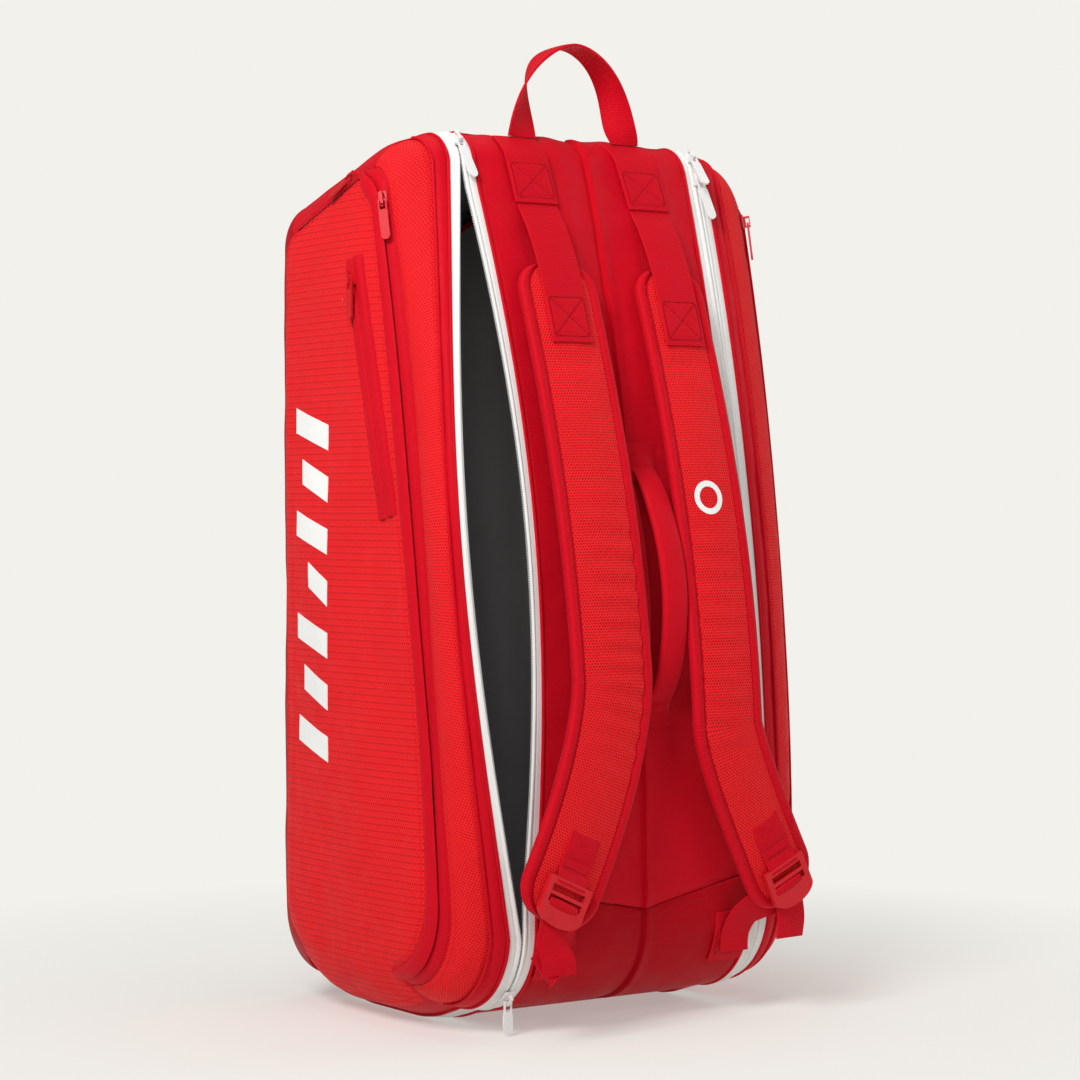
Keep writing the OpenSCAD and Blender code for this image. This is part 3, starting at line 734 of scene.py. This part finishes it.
def side_ring():
    """The outline of a side panel with the angle at which the panel starts."""
    top_start = np.where(np.arange(len(top)) > 0.93 * len(top), BACK_EDGE + 0.4, top_high)
    ring = np.concatenate([front, top[1:], back[1:], sole[1:-1]])
    back_start = np.full(len(back) - 1, BACK_EDGE + 0.4)
    sole_start = np.full(len(sole) - 2, SOLE_A)
    start = np.concatenate([front_high, top_start[1:], back_start, sole_start]) + 0.3
    wrap = soften(np.concatenate([start[-8:], start, start[:8]]), 6)
    return ring, wrap[8:-8]


SIDE_ROWS = 64


def side_points(s, ring, start):
    """A crowned panel: on round the corner first, then almost flat towards the middle."""
    e_start = ROUND_E * (1 - np.cos(np.radians(start)))
    t = np.linspace(0, 1, SIDE_ROWS)[:, None] ** 1.15
    e = e_start[None] * (1 - t) + INSET_Y * t
    fi = np.degrees(np.arccos(1 - np.minimum(e, ROUND_E) / ROUND_E))
    x = FLAT_X + SWELL * np.sin(np.radians(fi)) + 4.8 * (1 - (1 - clamp01((e - ROUND_E) / 85)) ** 2)
    y = MID[0] + (ring[:, 0] - MID[0]) * (1 - e / INSET_Y)
    z = MID[1] + (ring[:, 1] - MID[1]) * (1 - e / INSET_Z)
    return np.stack([s * x, y, z], -1)


ring, ring_start = side_ring()
side_trees = {}
for name, s in SIDES:
    grid = side_points(s, ring, ring_start)
    t = np.linspace(0, 1, SIDE_ROWS)[:, None]
    lift = 0.9 * ripple(grid, 130, 81 + s) + 0.3 * ripple(grid, 40, 83 + s)
    lift = lift * smooth(t / 0.12) - 1.0 * (1 - smooth(t / 0.03))
    grid[..., 0] += s * lift
    closed = np.concatenate([grid, grid[:, :1]], 1)
    if s > 0:
        closed = closed[:, ::-1]
    weave = np.stack([closed[..., 1], closed[..., 2]], -1)
    # the innermost row is one line with no direction of its own, so the cloth is thin there
    thickness = np.where(t < 1, COVER_T, 0.3)[::-1, :, None]
    side = Sheaf().slab(closed[::-1], thickness, 0, 1, weave[::-1])
    edge = grid[3]
    side.stitches(np.concatenate([edge, edge[:1]]) + np.array([s * 0.2, 0, 0]), np.array([s, 0, 0]), kind=2)
    piece = side.make(name + "_side_cloth", [shell, lining, thread], name + "_cover",
                      [name + "_side_panel"], "ribbed_shell")
    side_trees[s] = BVHTree.FromObject(piece, bpy.context.evaluated_depsgraph_get())


def on_side(s, y, z, lift=0.0):
    """The point of a side panel's outer face at y and z."""
    hit = side_trees[s].ray_cast(Vector((s * 0.5, y * MM, z * MM)), Vector((-s, 0, 0)))[0]
    return np.array([hit.x / MM + s * lift, y, z])


# generic mark on both side panels: a column of slanted bars
BAR_Y, BAR_Z, BAR_PITCH, BAR_W, BAR_RISE = 12, 222, 45, 22, 16
MARK_LIFT, MARK_T = 0.35, 0.5
for name, s in SIDES:
    mark = Sheaf()
    for k, length in enumerate((58, 46, 58, 34, 58, 46, 58)):
        rows = []
        for u in np.linspace(0, 1, 12):
            z = BAR_Z + BAR_PITCH * k + BAR_RISE * u
            column = np.linspace(0, BAR_W, 7)
            rows.append([on_side(s, BAR_Y + u * length, z + v, MARK_LIFT) for v in column])
        grid = np.array(rows) if s < 0 else np.array(rows)[::-1]
        mark.slab(grid[::-1], MARK_T)
    mark.make(name + "_side_mark", [print_white], name + "_cover", (), "ribbed_shell")


# small pocket on the left side: a zip between two soft welts in a stitched channel
POCKET_TOP, POCKET_FOOT = np.array([-33.0, 651.0]), np.array([-81.0, 439.0])
along = unit(POCKET_TOP - POCKET_FOOT)
sideways = np.array([-along[1], along[0]])
offsets = np.linspace(-13.5, 13.5, 46)
pocket_rows = []
for d in offsets:
    r = abs(d)
    fold = 1.9 * smooth((r - 0.9) / 2.2) * smooth((10.6 - r) / 3.4)
    channel = 0.5 * math.exp(-(((r - 11.2) / 0.7) ** 2))
    height = 0.5 + fold - channel - 0.5 * smooth((r - 12.6) / 0.9)
    spots = [POCKET_FOOT + k * along + d * sideways for k in np.linspace(-5, 222, 76)]
    pocket_rows.append([on_side(-1, y, z, height) for y, z in spots])
grid = np.array(pocket_rows)
pocket_zip = Sheaf().slab(grid, 0.9, 0)
leftward = np.array([-1.0, 0, 0])
for d in (-11.9, 11.9):
    k = np.argmin(np.abs(offsets - d))
    pocket_zip.stitches(grid[k] + 0.15 * leftward, leftward, kind=1)
for row in (2, -3):
    pocket_zip.stitches(grid[8:-8, row] + 0.15 * leftward, leftward, kind=1)
pocket_zip.make("small_pocket_zip", [band_cloth, thread], "left_cover", ["small_pocket_zip_tape"],
                "pocket_zip_tape")


# --------------------------------------------------------------------- main zips

def coil_row(sheaf, line, inward, out, kind):
    """The coil of a zip along one tape edge: short round teeth, side by side."""
    line = sample(line, 2.1)
    inward, out = out_at(inward, line), out_at(out, line)
    along = unit(np.gradient(line, axis=0))
    a = np.radians([45, 135, 225, 315])
    for k in range(len(line)):
        rings = [line[k] + e * inward[k] + 0.7 * (math.cos(b) * along[k] + math.sin(b) * out[k])
                 for e in (-1.0, 1.6) for b in a]
        sheaf.loft(np.array(rings).reshape(2, 4, 3), kind)


def tape(sheaf, grid, s):
    """One side of a zip tape with its folded edge, from the opening outwards."""
    w = np.linspace(0, TAPE_W, grid.shape[0])[:, None]
    w = w if s > 0 else w[::-1]
    lift = 1.0 * np.exp(-(((w - 1.6) / 1.5) ** 2)) - 0.5 * np.exp(-(((w - 4.2) / 0.7) ** 2))
    lift = lift - 1.2 * (1 - smooth(w / 0.8)) - 0.2
    sheaf.slab(grid + normals(grid) * lift[..., None], 1.3)


def zip_half(name, s, grid, body):
    """Half a main zip: its tape, its coil on the opening side, and a welt on the other."""
    sheaf = Sheaf()
    tape(sheaf, grid, s)
    open_row, beside, sewn_row = (0, 1, -1) if s > 0 else (-1, -2, 0)
    outward = normals(grid)[open_row]
    inward = unit(grid[open_row] - grid[beside])
    coil_row(sheaf, grid[open_row] - 1.9 * outward - 0.9 * inward, inward, outward, 1)
    sheaf.tube(grid[sewn_row] + 0.3 * normals(grid)[sewn_row], 1.5, 2)
    sheaf.make(name, [tape_cloth, coil, satin], body, [name + "_tape"], "zip_tape")


TAPE_ROWS = 14
for name, s in SIDES:
    out = 1.0 if s < 0 else 0.0
    ones = np.ones(len(zip_run))
    fi = strip_fi(ZIP_A * ones, TAPE_A * ones, TAPE_ROWS)
    zip_half(name + "_cover_zip", s, cover(s, fi, zip_run, out), name + "_cover")
    edges = sorted([s * FACE_X, s * (ZIP_X - 0.5)])
    xs = np.linspace(*edges, TAPE_ROWS)
    zip_half(name + "_body_zip", -s, face_point(xs[:, None], zip_run), "bag")


# ---------------------------------------------------------------- shoulder straps

STRAP_TOP, STRAP_FOOT, PAD_HW = 650.0, 104.0, 40.0
WEB_HW, STUB_HW, LOOP_X, LOOP_HW = 21.0, 16.0, 55.0, 14.5
HAUL_Z = 702.0
LOCK_Z, LOCK_A = 118.0, 25.0


def strap_x(s, z):
    """Where the middle of a strap is at height z: both curve outwards towards the foot."""
    z = np.asarray(z, float)
    if s < 0:
        return -56 - 0.035 * np.maximum(0, 300 - z) ** 1.43
    return 63 + 0.099 * np.maximum(0, 255 - z) ** 1.3


def strap_point(s, z, lift=0.0):
    """The middle of a strap's face at height z, which stands off the bag between its ends."""
    z = np.asarray(z, float)
    u = clamp01((STRAP_TOP - z) / (STRAP_TOP - STRAP_FOOT))
    y = front_y(z) - 16 - 28 * np.sin(np.radians(130 * u)) - lift
    return np.stack(np.broadcast_arrays(strap_x(s, z), y, z), -1)


def across(path):
    """Directions across a strap that runs down the face."""
    d = np.gradient(path, axis=0)
    return unit(np.stack([d[:, 2], np.zeros(len(d)), -d[:, 0]], -1))


def pad_section(w, wrinkle):
    """The closed section at half width w: mesh face, bound edges and a flat back."""
    face_w = w - 11.0
    a = np.linspace(-1, 1, 21)
    face_a, face_b = a * face_w, -1.2 + 2.6 * (1 - a**2) + wrinkle
    roll_a = np.array([-10.2, -7.6, -5.0, -2.4, -0.7, 0.0, -0.7, -2.8, -6.0])
    roll_b = np.array([-2.6, -0.9, -0.2, -0.8, -2.6, -5.2, -7.8, -9.6, -10.4])
    back_a = np.linspace(1, -1, 9) * (w - 12)
    back_b = -10.4 - 0.4 * (1 - np.linspace(1, -1, 9) ** 2)
    ring_a = np.concatenate([face_a, w + roll_a, back_a, -(w + roll_a)[::-1]])
    ring_b = np.concatenate([face_b, roll_b, back_b, roll_b[::-1]])
    return ring_a, ring_b


PAD_MIN_HW = 12.5
pad_trees = {}
a = np.linspace(-1, 1, 21)
for name, s in SIDES:
    z = np.linspace(STRAP_FOOT - 2, STRAP_TOP + 2, 230)
    centre = strap_point(s, z)
    side = across(centre)
    out = unit(np.cross(side, np.gradient(centre, axis=0)))
    full = PAD_HW - (0 if s < 0 else 4)
    run = np.concatenate([[0], np.cumsum(np.linalg.norm(np.diff(centre, axis=0), axis=1))])
    rings = []
    for k in range(len(z)):
        end = min(run[k], run[-1] - run[k])
        round_r = 30.0 if run[k] < run[-1] / 2 else 26.0
        short = max(0.0, round_r - end)
        w = full - round_r + math.sqrt(max(round_r**2 - short**2, 1.0)) + 0.4
        strength = smooth((z[k] - 200) / 50) * smooth((500 - z[k]) / 110) * (1.0 if s < 0 else 0.7)
        phase = z[k] / 19.5 + 0.35 * math.sin(z[k] / 47.0) + 0.12 * a
        wrinkle = 0.75 * strength * np.sin(2 * np.pi * phase) * smooth((0.9 - s * a) / 0.8)
        wrinkle = wrinkle - 2.2 * math.exp(-(((z[k] - 566) / 9.0) ** 2)) * (1 - a**2)
        ring_a, ring_b = pad_section(max(w, PAD_MIN_HW), wrinkle)
        ring_a = ring_a * (w / max(w, PAD_MIN_HW))
        thin = math.sqrt(clamp01(1 - (max(0.0, 5 - end) / 5.2) ** 2))
        ring_b = (ring_b + 5.2) * thin - 5.2
        rings.append(centre[k] + ring_a[:, None] * side[k] + ring_b[:, None] * out[k])
    rings = np.array(rings)
    kinds = np.concatenate([np.full(20, 0), np.full(10, 1), np.full(8, 2), np.full(10, 1)])
    pad = Sheaf().loft(rings, kinds)
    for column in (22, 46):
        pad.stitches(rings[6:-6, column] + 0.2 * out[6:-6], out[6:-6], kind=3)
    piece = pad.make(name + "_pad_cloth", [strap_cloth, binding, mesh_cloth, thread], name + "_strap",
                     [name + "_shoulder_pad"], "strap_mesh")
    pad_trees[s] = BVHTree.FromObject(piece, bpy.context.evaluated_depsgraph_get())


def on_pad(s, x, z, lift=0.0):
    """The point of a pad's face at x and z."""
    hit = pad_trees[s].ray_cast(Vector((x * MM, -0.5, z * MM)), Vector((0, 1, 0)))[0]
    return np.array([x, hit.y / MM - lift, z])


def quilted_box(sheaf, path, side, out, half_w):
    """A sewn square with crossing diagonals: the stitches sink in, so the cloth puffs between."""
    n = len(path)
    rim = 0.88
    u = np.linspace(-1, 1, 41)[:, None]
    v = np.linspace(-1, 1, n)[None]
    border = np.minimum(rim - np.abs(u), rim - np.abs(v))
    diagonal = np.minimum(np.abs(u - v), np.abs(u + v))
    near = np.minimum(np.abs(border), diagonal / 1.4) * half_w
    hem = smooth((np.maximum(np.abs(u), np.abs(v)) - 0.93) / 0.07)
    lift = 1.55 - 0.75 * np.exp(-((near / 1.1) ** 2)) - 0.9 * hem
    grid = path[None] + (u * half_w)[..., None] * side[None] + lift[..., None] * out[None]
    sheaf.slab(grid, 0.8)
    t = np.linspace(-rim, rim, 24)
    high = np.full(24, rim)
    for a, b in ((t, t), (t, -t), (t, high), (t, -high), (high, t), (-high, t)):
        at = (b + 1) / 2 * (n - 1)
        base = np.stack([np.interp(at, np.arange(n), path[:, k]) for k in range(3)], -1)
        line = base + (a * half_w)[:, None] * side[0] + 0.95 * out[n // 2]
        sheaf.stitches(line, out[n // 2], pitch=2.4, length=2.2, r=0.5, kind=1)


def face_directions(path):
    """Directions along +X and outwards at each point of a path up the bag."""
    side = np.tile([1.0, 0, 0], (len(path), 1))
    return side, unit(np.cross(side, np.gradient(path, axis=0)))


def haul_x(s, z):
    """The two haul webbings lean towards +X on their way down."""
    low, high = (-58, -63) if s < 0 else (62, 53)
    return low + (high - low) * (np.asarray(z, float) - HAUL_Z) / (BAG_H - HAUL_Z)


# upper webbing, sewn over the top of each pad and running up to the haul webbing
for name, s in SIDES:
    z = np.array([583, 600, 618, 636, 652, 668, 684, 694, 700, 707])
    lift = np.array([2.6, 2.6, 2.4, 3.0, 2.0, -0.5, -4.5, -8.5, -11.5, -12.6])
    path = strap_point(s, z, lift)
    path[:, 0] = np.interp(z, [583, 650, HAUL_Z], [-56, -55, -57] if s < 0 else [64, 65, 62.5])
    path = soften(sample(path, 2.5), 6)
    side, out = face_directions(path)
    strap = Sheaf().ribbon(path, side, WEB_HW, 2.0, -0.5)
    quilted_box(strap, path[1:18], side[1:18], out[1:18], WEB_HW - 0.6)
    strap.make(name + "_upper_webbing", [webbing, groove_shade_thread], name + "_strap",
               [name + "_strap_webbing"], "webbing")

# haul webbing: from the top edge down the strap face to its sewn square
for name, s in SIDES:
    profile = np.concatenate([face[face[:, 1] > HAUL_Z], brow[:9]])
    path = face_point(haul_x(s, profile[:, 1]), profile)
    height = 5.6 - 2.6 * smooth((profile[:, 1] - 744) / 16)
    path = sample(path + face_directions(path)[1] * height[:, None], 2.5)
    side, out = face_directions(path)
    haul = Sheaf().ribbon(path, side, WEB_HW + 1.2, 2.4, -0.4)
    quilted_box(haul, path[1:16], side[1:16], out[1:16], WEB_HW + 0.6)
    haul.make(name + "_haul_band", [webbing, groove_shade_thread], "bag", [name + "_haul_webbing"], "webbing")

def lock_frame(s):
    """A buckle's origin and its own X, Y and Z directions."""
    lean = math.radians(-s * LOCK_A)
    x = np.array([math.cos(lean), 0, -math.sin(lean)])
    z = np.array([math.sin(lean), 0, math.cos(lean)])
    return strap_point(s, LOCK_Z, 5.5), x, np.array([0.0, -1, 0]), z


# stub through the buckle, hanging tail and lower webbing at the foot of each strap
for name, s in SIDES:
    body = name + "_strap"
    o, lx, ly, lz = lock_frame(s)
    # up from the buckle's middle and out from its face: over the pad, round the bar and back
    turns = ((62, -3.5), (45, -2.4), (28, -1.6), (19, 0.6), (14.5, 2.6), (11.5, 0.5), (13, -3.5), (24, -4.2))
    path = soften(sample([o + up * lz + off * ly for up, off in turns], 2.0), 4)
    side, out = np.tile(lx, (len(path), 1)), np.tile(ly, (len(path), 1))
    stub = Sheaf().ribbon(path, side, STUB_HW - 0.5, 1.9)
    quilted_box(stub, path[1:13], side[1:13], out[1:13], STUB_HW - 1)
    seam = o + 29 * lz - 0.2 * ly
    line = np.stack([seam - (STUB_HW - 2) * lx, seam + (STUB_HW - 2) * lx])
    stub.stitches(sample(line, 2.6), ly, pitch=2.6, kind=1)
    stub.make(name + "_stub_cloth", [webbing, groove_shade_thread], body, [name + "_stub_webbing"], "webbing")

    hang = strap_point(s, 92, 3)
    turns = ((-1, -3.6), (3, 1.5), (-2, 3.6), (-8, 0.5), (-13, -3.6))
    free = hang + [[-s * 5, 1, -8], [-s * 10, -2, -22], [-s * 11, 0, -33]]
    path = np.concatenate([[o + up * lz + off * ly for up, off in turns], free])
    path = soften(sample(path if s < 0 else path[:-1] - [[3.0, 0, 0]], 2.0), 4)
    t = np.linspace(0, 1, len(path))
    widths = 15 + 1.0 * smooth((t - 0.4) / 0.3)
    level_x = smooth((t - 0.45) / 0.35)[:, None]
    lat = unit(lx * (1 - level_x) + np.array([1.0, 0.12 * s, 0.0]) * level_x)
    tail = Sheaf().ribbon(path, lat, widths, 1.8, 0.6)
    if s < 0:
        # its end is folded up on the slant behind the front layer
        fold = path[-1] + [[0, 0.4, -1.5], [1, 2.4, 1], [-9, 3.6, 12], [-17, 3.8, 23]]
        fold = soften(sample(fold, 2.0), 3)
        slant = np.tile([1.0, 0.1, 0.75], (len(fold), 1))
        tail.ribbon(fold, slant, 12.0, 1.5, 0.4)
    tail.make(name + "_tail_cloth", [webbing, thread], body, [name + "_webbing_tail"], "webbing")

    tab_x = s * 94.0
    start = np.array([tab_x, front_y(62) - 3, 56.0])
    path = [start, (tab_x, front_y(74) - 3.5, 72), (s * 97, front_y(88) - 12, 88),
            (s * 104, front_y(99) - 28, 99), o - 9 * lz - 6.5 * ly, o - 1 * lz - 6 * ly]
    path = soften(sample(path, 3.0), 5)
    turn = smooth((np.linspace(0, 1, len(path)) - 0.55) / 0.45)[:, None]
    lat = unit(across(path) * (1 - 0.6 * turn) + lx * 0.6 * turn)
    adjust = Sheaf().ribbon(path, lat, STUB_HW - 1, 1.7)
    adjust.make(name + "_lower_webbing", [webbing], None, [name + "_adjuster_webbing"], "webbing",
                blend=(("bag", body), (tab_x, front_y(80) - 5, 80), tuple(o - 6 * lz)))

tabs = Sheaf()
for s in (-1, 1):
    profile = np.concatenate([foot[foot[:, 1] > 48], face[face[:, 1] < 92]])
    path = sample(face_point(s * 92.0, profile), 3.0)
    side, out = face_directions(path)
    path = path + 3.4 * out
    tabs.ribbon(path, side, 18, 2.0)
    quilted_box(tabs, path[2:12], side[2:12], out[2:12], 17)
tabs.make("anchor_tabs_cloth", [webbing, groove_shade_thread], "bag", ["anchor_tabs"], "webbing")

# generic mark on the right strap: a ring
MARK_X, MARK_Z = 60, 451
rows = []
for r in (9.5, 12, 14.5):
    spots = arc((MARK_X, MARK_Z), r, 0, 360, 40)
    rows.append([on_pad(1, x, z, MARK_LIFT) for x, z in spots])
Sheaf().slab(np.array(rows), MARK_T).make("strap_mark", [print_white], "right_strap", (), "strap_mesh")


# ------------------------------------------------------ haul loop and the handles

LOOP_H = 82.0
a = np.radians(np.linspace(0, 180, 49))
foot_z = brow[7][1] + 5.5
rise = BAG_H + LOOP_H - foot_z
up = np.abs(np.sin(a)) ** 0.62
lean = 12 * np.abs(np.sin(np.pi * clamp01((np.degrees(a) - 80) / 100))) ** 0.4
path = np.stack([-LOOP_X * np.cos(a) - lean, np.full(len(a), brow[7][0] - 0.5), foot_z + rise * up], -1)
turn = np.radians(np.where(a < np.pi / 2, 90 * clamp01(1.15 * up), 180 - 90 * np.sqrt(up)))
# the twist is sampled and softened along with the path, on a scale of its own
TWIST = 40
both = soften(sample(np.concatenate([path, TWIST * turn[:, None]], 1), 3.0), 8)
path, turn = both[:, :3], both[:, 3] / TWIST
lat = np.stack([np.cos(turn), np.sin(turn), np.zeros(len(turn))], -1)
loop = Sheaf().ribbon(path, lat, LOOP_HW, 2.3, 0.6)
loop.make("haul_loop_webbing", [webbing], "haul_loop", ["haul_loop"], "webbing")

HANDLE_Z0, HANDLE_Z1, HANDLE_BOW, HANDLE_HW = 277.0, 476.0, 32.0, 12.5
for name, s in SIDES:
    z = np.linspace(HANDLE_Z0 - 3, HANDLE_Z1 + 3, 80)
    bow = HANDLE_BOW - (18 if s < 0 else 0)
    u = clamp01((z - HANDLE_Z0) / (HANDLE_Z1 - HANDLE_Z0))
    swell = np.sin(np.pi * u)
    y = front_y(z) - 8 - bow * swell**0.7
    centre = np.stack([np.full(len(z), s * (HANDLE_HW + 0.7)), y, z], -1)
    side, out = face_directions(centre)
    k = np.linspace(0, 2 * np.pi, 28, endpoint=False)
    w = HANDLE_HW * (0.94 + 0.06 * swell)
    half_t = 1.6 + 2.6 * smooth(swell * 2.5)
    ca, sa = np.cos(k), np.sin(k)
    rings = (centre[:, None]
             + (w[:, None] * np.sign(ca) * np.abs(ca) ** 0.55)[..., None] * side[:, None]
             + (half_t[:, None] * np.sign(sa) * np.abs(sa) ** 0.8)[..., None] * out[:, None])
    handle = Sheaf().loft(rings, 0)
    for column in (4, 10):
        handle.stitches(rings[4:-4, column] + 0.1 * out[4:-4], out[4:-4], kind=1)
    piece = handle.make(name + "_handle_pad", [handle_cloth, thread], name + "_handle",
                        [name + "_carry_handle"], "webbing")

patch = Sheaf()
for z_mid in (HANDLE_Z0 - 6, HANDLE_Z1 + 6):
    zs = np.linspace(z_mid - 17, z_mid + 17, 16)
    px = np.linspace(-31, 31, 40)
    grid = face_point(px[:, None], np.stack([front_y(zs), zs], -1))
    toward = (zs - z_mid) * (1 if z_mid < 400 else -1)
    under = smooth((toward + 6) / 14)[None] * smooth((27 - np.abs(px)) / 5)[:, None]
    grid[..., 1] -= 4.4 + 6.0 * under
    patch.slab(grid, 1.6)
    for row in (1, -2):
        patch.stitches(grid[:, row] - [0, 0.1, 0], np.array([0, -1.0, 0]), kind=1)
patch.make("handle_patches_cloth", [satin, thread], "bag", ["handle_patch"], "ribbed_shell")


# ------------------------------------------------------------------------ inside

# quilted padding behind the strap face
for name, s in SIDES:
    zs = np.linspace(SEAM_Z + 52, BROW_Z - 32, 90)
    px = np.sort(np.linspace(8, 88, 30) * s)
    grid = face_point(px[:, None], np.stack([front_y(zs), zs], -1))
    u = (np.abs(px) - 8)[:, None] / 80
    v = np.linspace(0, 1, 90)[None]
    thick = 2.2 * np.sin(np.pi * u) ** 0.4 * np.sin(np.pi * v) ** 0.2
    quilt = 0.8 * np.abs(np.sin(np.pi * v * 7)) ** 0.5
    sheaf = Sheaf()
    sheaf.slab(grid - normals(grid) * 5.4, 0.8)
    sheaf.slab(grid - normals(grid) * (5.6 + thick + quilt)[..., None], 0.8)
    sheaf.make(name + "_foam_cover", [lining], "bag", ["harness_foam"] if s < 0 else (), "lining")

# padded divider between the two compartments, a little inside the outline of the bag
upright = face[(face[:, 1] > 106) & (face[:, 1] < BROW_Z - 10)]
outline = np.concatenate([upright, top[6:-6], back[6:-6], sole[6:-6]])
outline = soften(sample(np.concatenate([outline, outline[:1]]), 5.0), 6)
t = np.linspace(0, 1, 26)[:, None, None]
margin = 11 / INSET_Y
core = outline[None] + (MID - outline[None]) * (margin + t * (1 - margin))
divider = Sheaf()
for s in (-1, 1):
    grid = np.concatenate([np.zeros(core.shape[:2] + (1,)), core], 2)
    swollen = 1.9 * smooth(t[..., 0] / 0.04) + 0.6 * ripple(grid, 120, 91)
    grid[..., 0] = s * np.maximum(swollen, 0.1)
    half = grid if s > 0 else grid[:, ::-1]
    divider.add(half, half[..., 1:], grid_quads(*half.shape[:2]), 0)
divider.tube(np.concatenate([np.zeros((len(outline), 1)), core[0]], 1), 2.2, 1, (1, 0, 0))
divider.make("divider_cloth", [lining, binding], "bag", ["middle_divider"], "lining")

# ------------------------------------------------------- hard parts from the frame

def finish_part(node, material, bevel):
    """Stands for a CAD node with the same shape, its edges rounded and its finish detailed."""
    cad = frame["nodes"][node]
    mesh = cad.data.copy()
    mesh.materials.clear()
    mesh.materials.append(material)
    piece = bpy.data.objects.new(node + "_finished", mesh)
    bpy.context.scene.collection.objects.link(piece)
    rounding = piece.modifiers.new("edges", "BEVEL")
    rounding.width = bevel * MM
    rounding.segments = 3
    rounding.limit_method = "ANGLE"
    rounding.harden_normals = True
    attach(piece, cad["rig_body"])
    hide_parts(node)


for node in sorted(frame["nodes"]):
    if node.endswith(("_slider", "_pull")):
        paint, slot = (red_paint, "zip_metal_red") if "pocket" in node else (white_paint, "zip_metal_white")
        finish_part(node, paint, 0.5)
    elif node.endswith("ladder_lock"):
        finish_part(node, plastic, 0.9)
    elif node == "bottom_board":
        finish_part(node, lining, 0.8)

# ------------------------------------------------------------------ the studio

scene = bpy.context.scene
BACKDROP = (0.888, 0.880, 0.840)

floor_mesh = bpy.data.meshes.new("floor")
floor_mesh.from_pydata([(-30, -30, 0), (30, -30, 0), (30, 30, 0), (-30, 30, 0)], [], [(0, 1, 2, 3)])
floor = bpy.data.objects.new("floor", floor_mesh)
scene.collection.objects.link(floor)
sh = Shader("pale_floor", Roughness=0.9, Specular_IOR_Level=0.1)
place = sh.place()
distance = sh.node("VectorMath", place, operation="LENGTH").outputs["Value"]
sh.feed(sh.bsdf.inputs["Base Color"], sh.mix(sh.noise(place, 3.0), (*BACKDROP, 1), (0.87, 0.862, 0.825, 1)))
glow = sh.node("Emission", (*BACKDROP, 1), 1.0)
# the floor fades into the backdrop's even tone away from the bag
faded = sh.node("MixShader", sh.spread(distance, 0.22, 0.85, 0.4, 1.0), sh.bsdf.outputs[0], glow.outputs[0])
sh.tree.links.new(faded.outputs[0], sh.tree.nodes["Material Output"].inputs["Surface"])
floor_mesh.materials.append(sh.material)

world = bpy.data.worlds.new("studio")
scene.world = world
world.use_nodes = True
tree = world.node_tree
tree.nodes["Background"].inputs[0].default_value = (*BACKDROP, 1)
tree.nodes["Background"].inputs[1].default_value = 0.20
seen = tree.nodes.new("ShaderNodeBackground")
seen.inputs[0].default_value = (*BACKDROP, 1)
ray = tree.nodes.new("ShaderNodeLightPath")
choose = tree.nodes.new("ShaderNodeMixShader")
tree.links.new(ray.outputs["Is Camera Ray"], choose.inputs[0])
tree.links.new(tree.nodes["Background"].outputs[0], choose.inputs[1])
tree.links.new(seen.outputs[0], choose.inputs[2])
tree.links.new(choose.outputs[0], tree.nodes["World Output"].inputs[0])


def softbox(name, place, size, watts, aim=0.4, spread=180):
    """A rectangular light turned towards the middle of the bag at height aim."""
    light = bpy.data.lights.new(name, "AREA")
    light.shape = "RECTANGLE"
    light.size, light.size_y = size
    light.energy = watts
    light.spread = math.radians(spread)
    lamp = bpy.data.objects.new(name, light)
    lamp.location = place
    lamp.rotation_euler = (Vector((0, 0, aim)) - Vector(place)).to_track_quat("-Z", "Y").to_euler()
    scene.collection.objects.link(lamp)


softbox("key", (-2.0, -1.1, 2.3), (1.1, 1.1), 19, aim=0.75, spread=90)
softbox("front_fill", (0.6, -3.0, 1.2), (1.4, 1.8), 7)
softbox("right_rim", (2.4, -0.6, 1.5), (1.2, 1.6), 13)
softbox("top", (0.0, 0.2, 2.8), (1.6, 1.6), 14)
softbox("camera_fill", (-1.7, -2.5, 1.5), (0.6, 0.6), 10)

scene.view_settings.view_transform = "Standard"

# the camera looks past the aim point from DISTANCE away
AZIMUTH, PITCH, ROLL = math.radians(-34.395), math.radians(0.844), math.radians(-0.087)
DISTANCE, AIM_X = 2.623, -0.0027
aim = Vector((AIM_X * math.cos(AZIMUTH), -0.020 + AIM_X * math.sin(AZIMUTH), 0.413))
away = Vector((math.sin(AZIMUTH) * math.cos(PITCH), -math.cos(AZIMUTH) * math.cos(PITCH), math.sin(PITCH)))
camera = bpy.data.objects.new("camera", bpy.data.cameras.new("camera"))
scene.collection.objects.link(camera)
camera.location = aim + away * DISTANCE
camera.rotation_mode = "QUATERNION"
camera.rotation_quaternion = (-away).to_track_quat("-Z", "Y") @ Matrix.Rotation(ROLL, 3, "Z").to_quaternion()
camera.data.sensor_width = 36.0
camera.data.lens = 2930 / 1080 * 36
scene.camera = camera
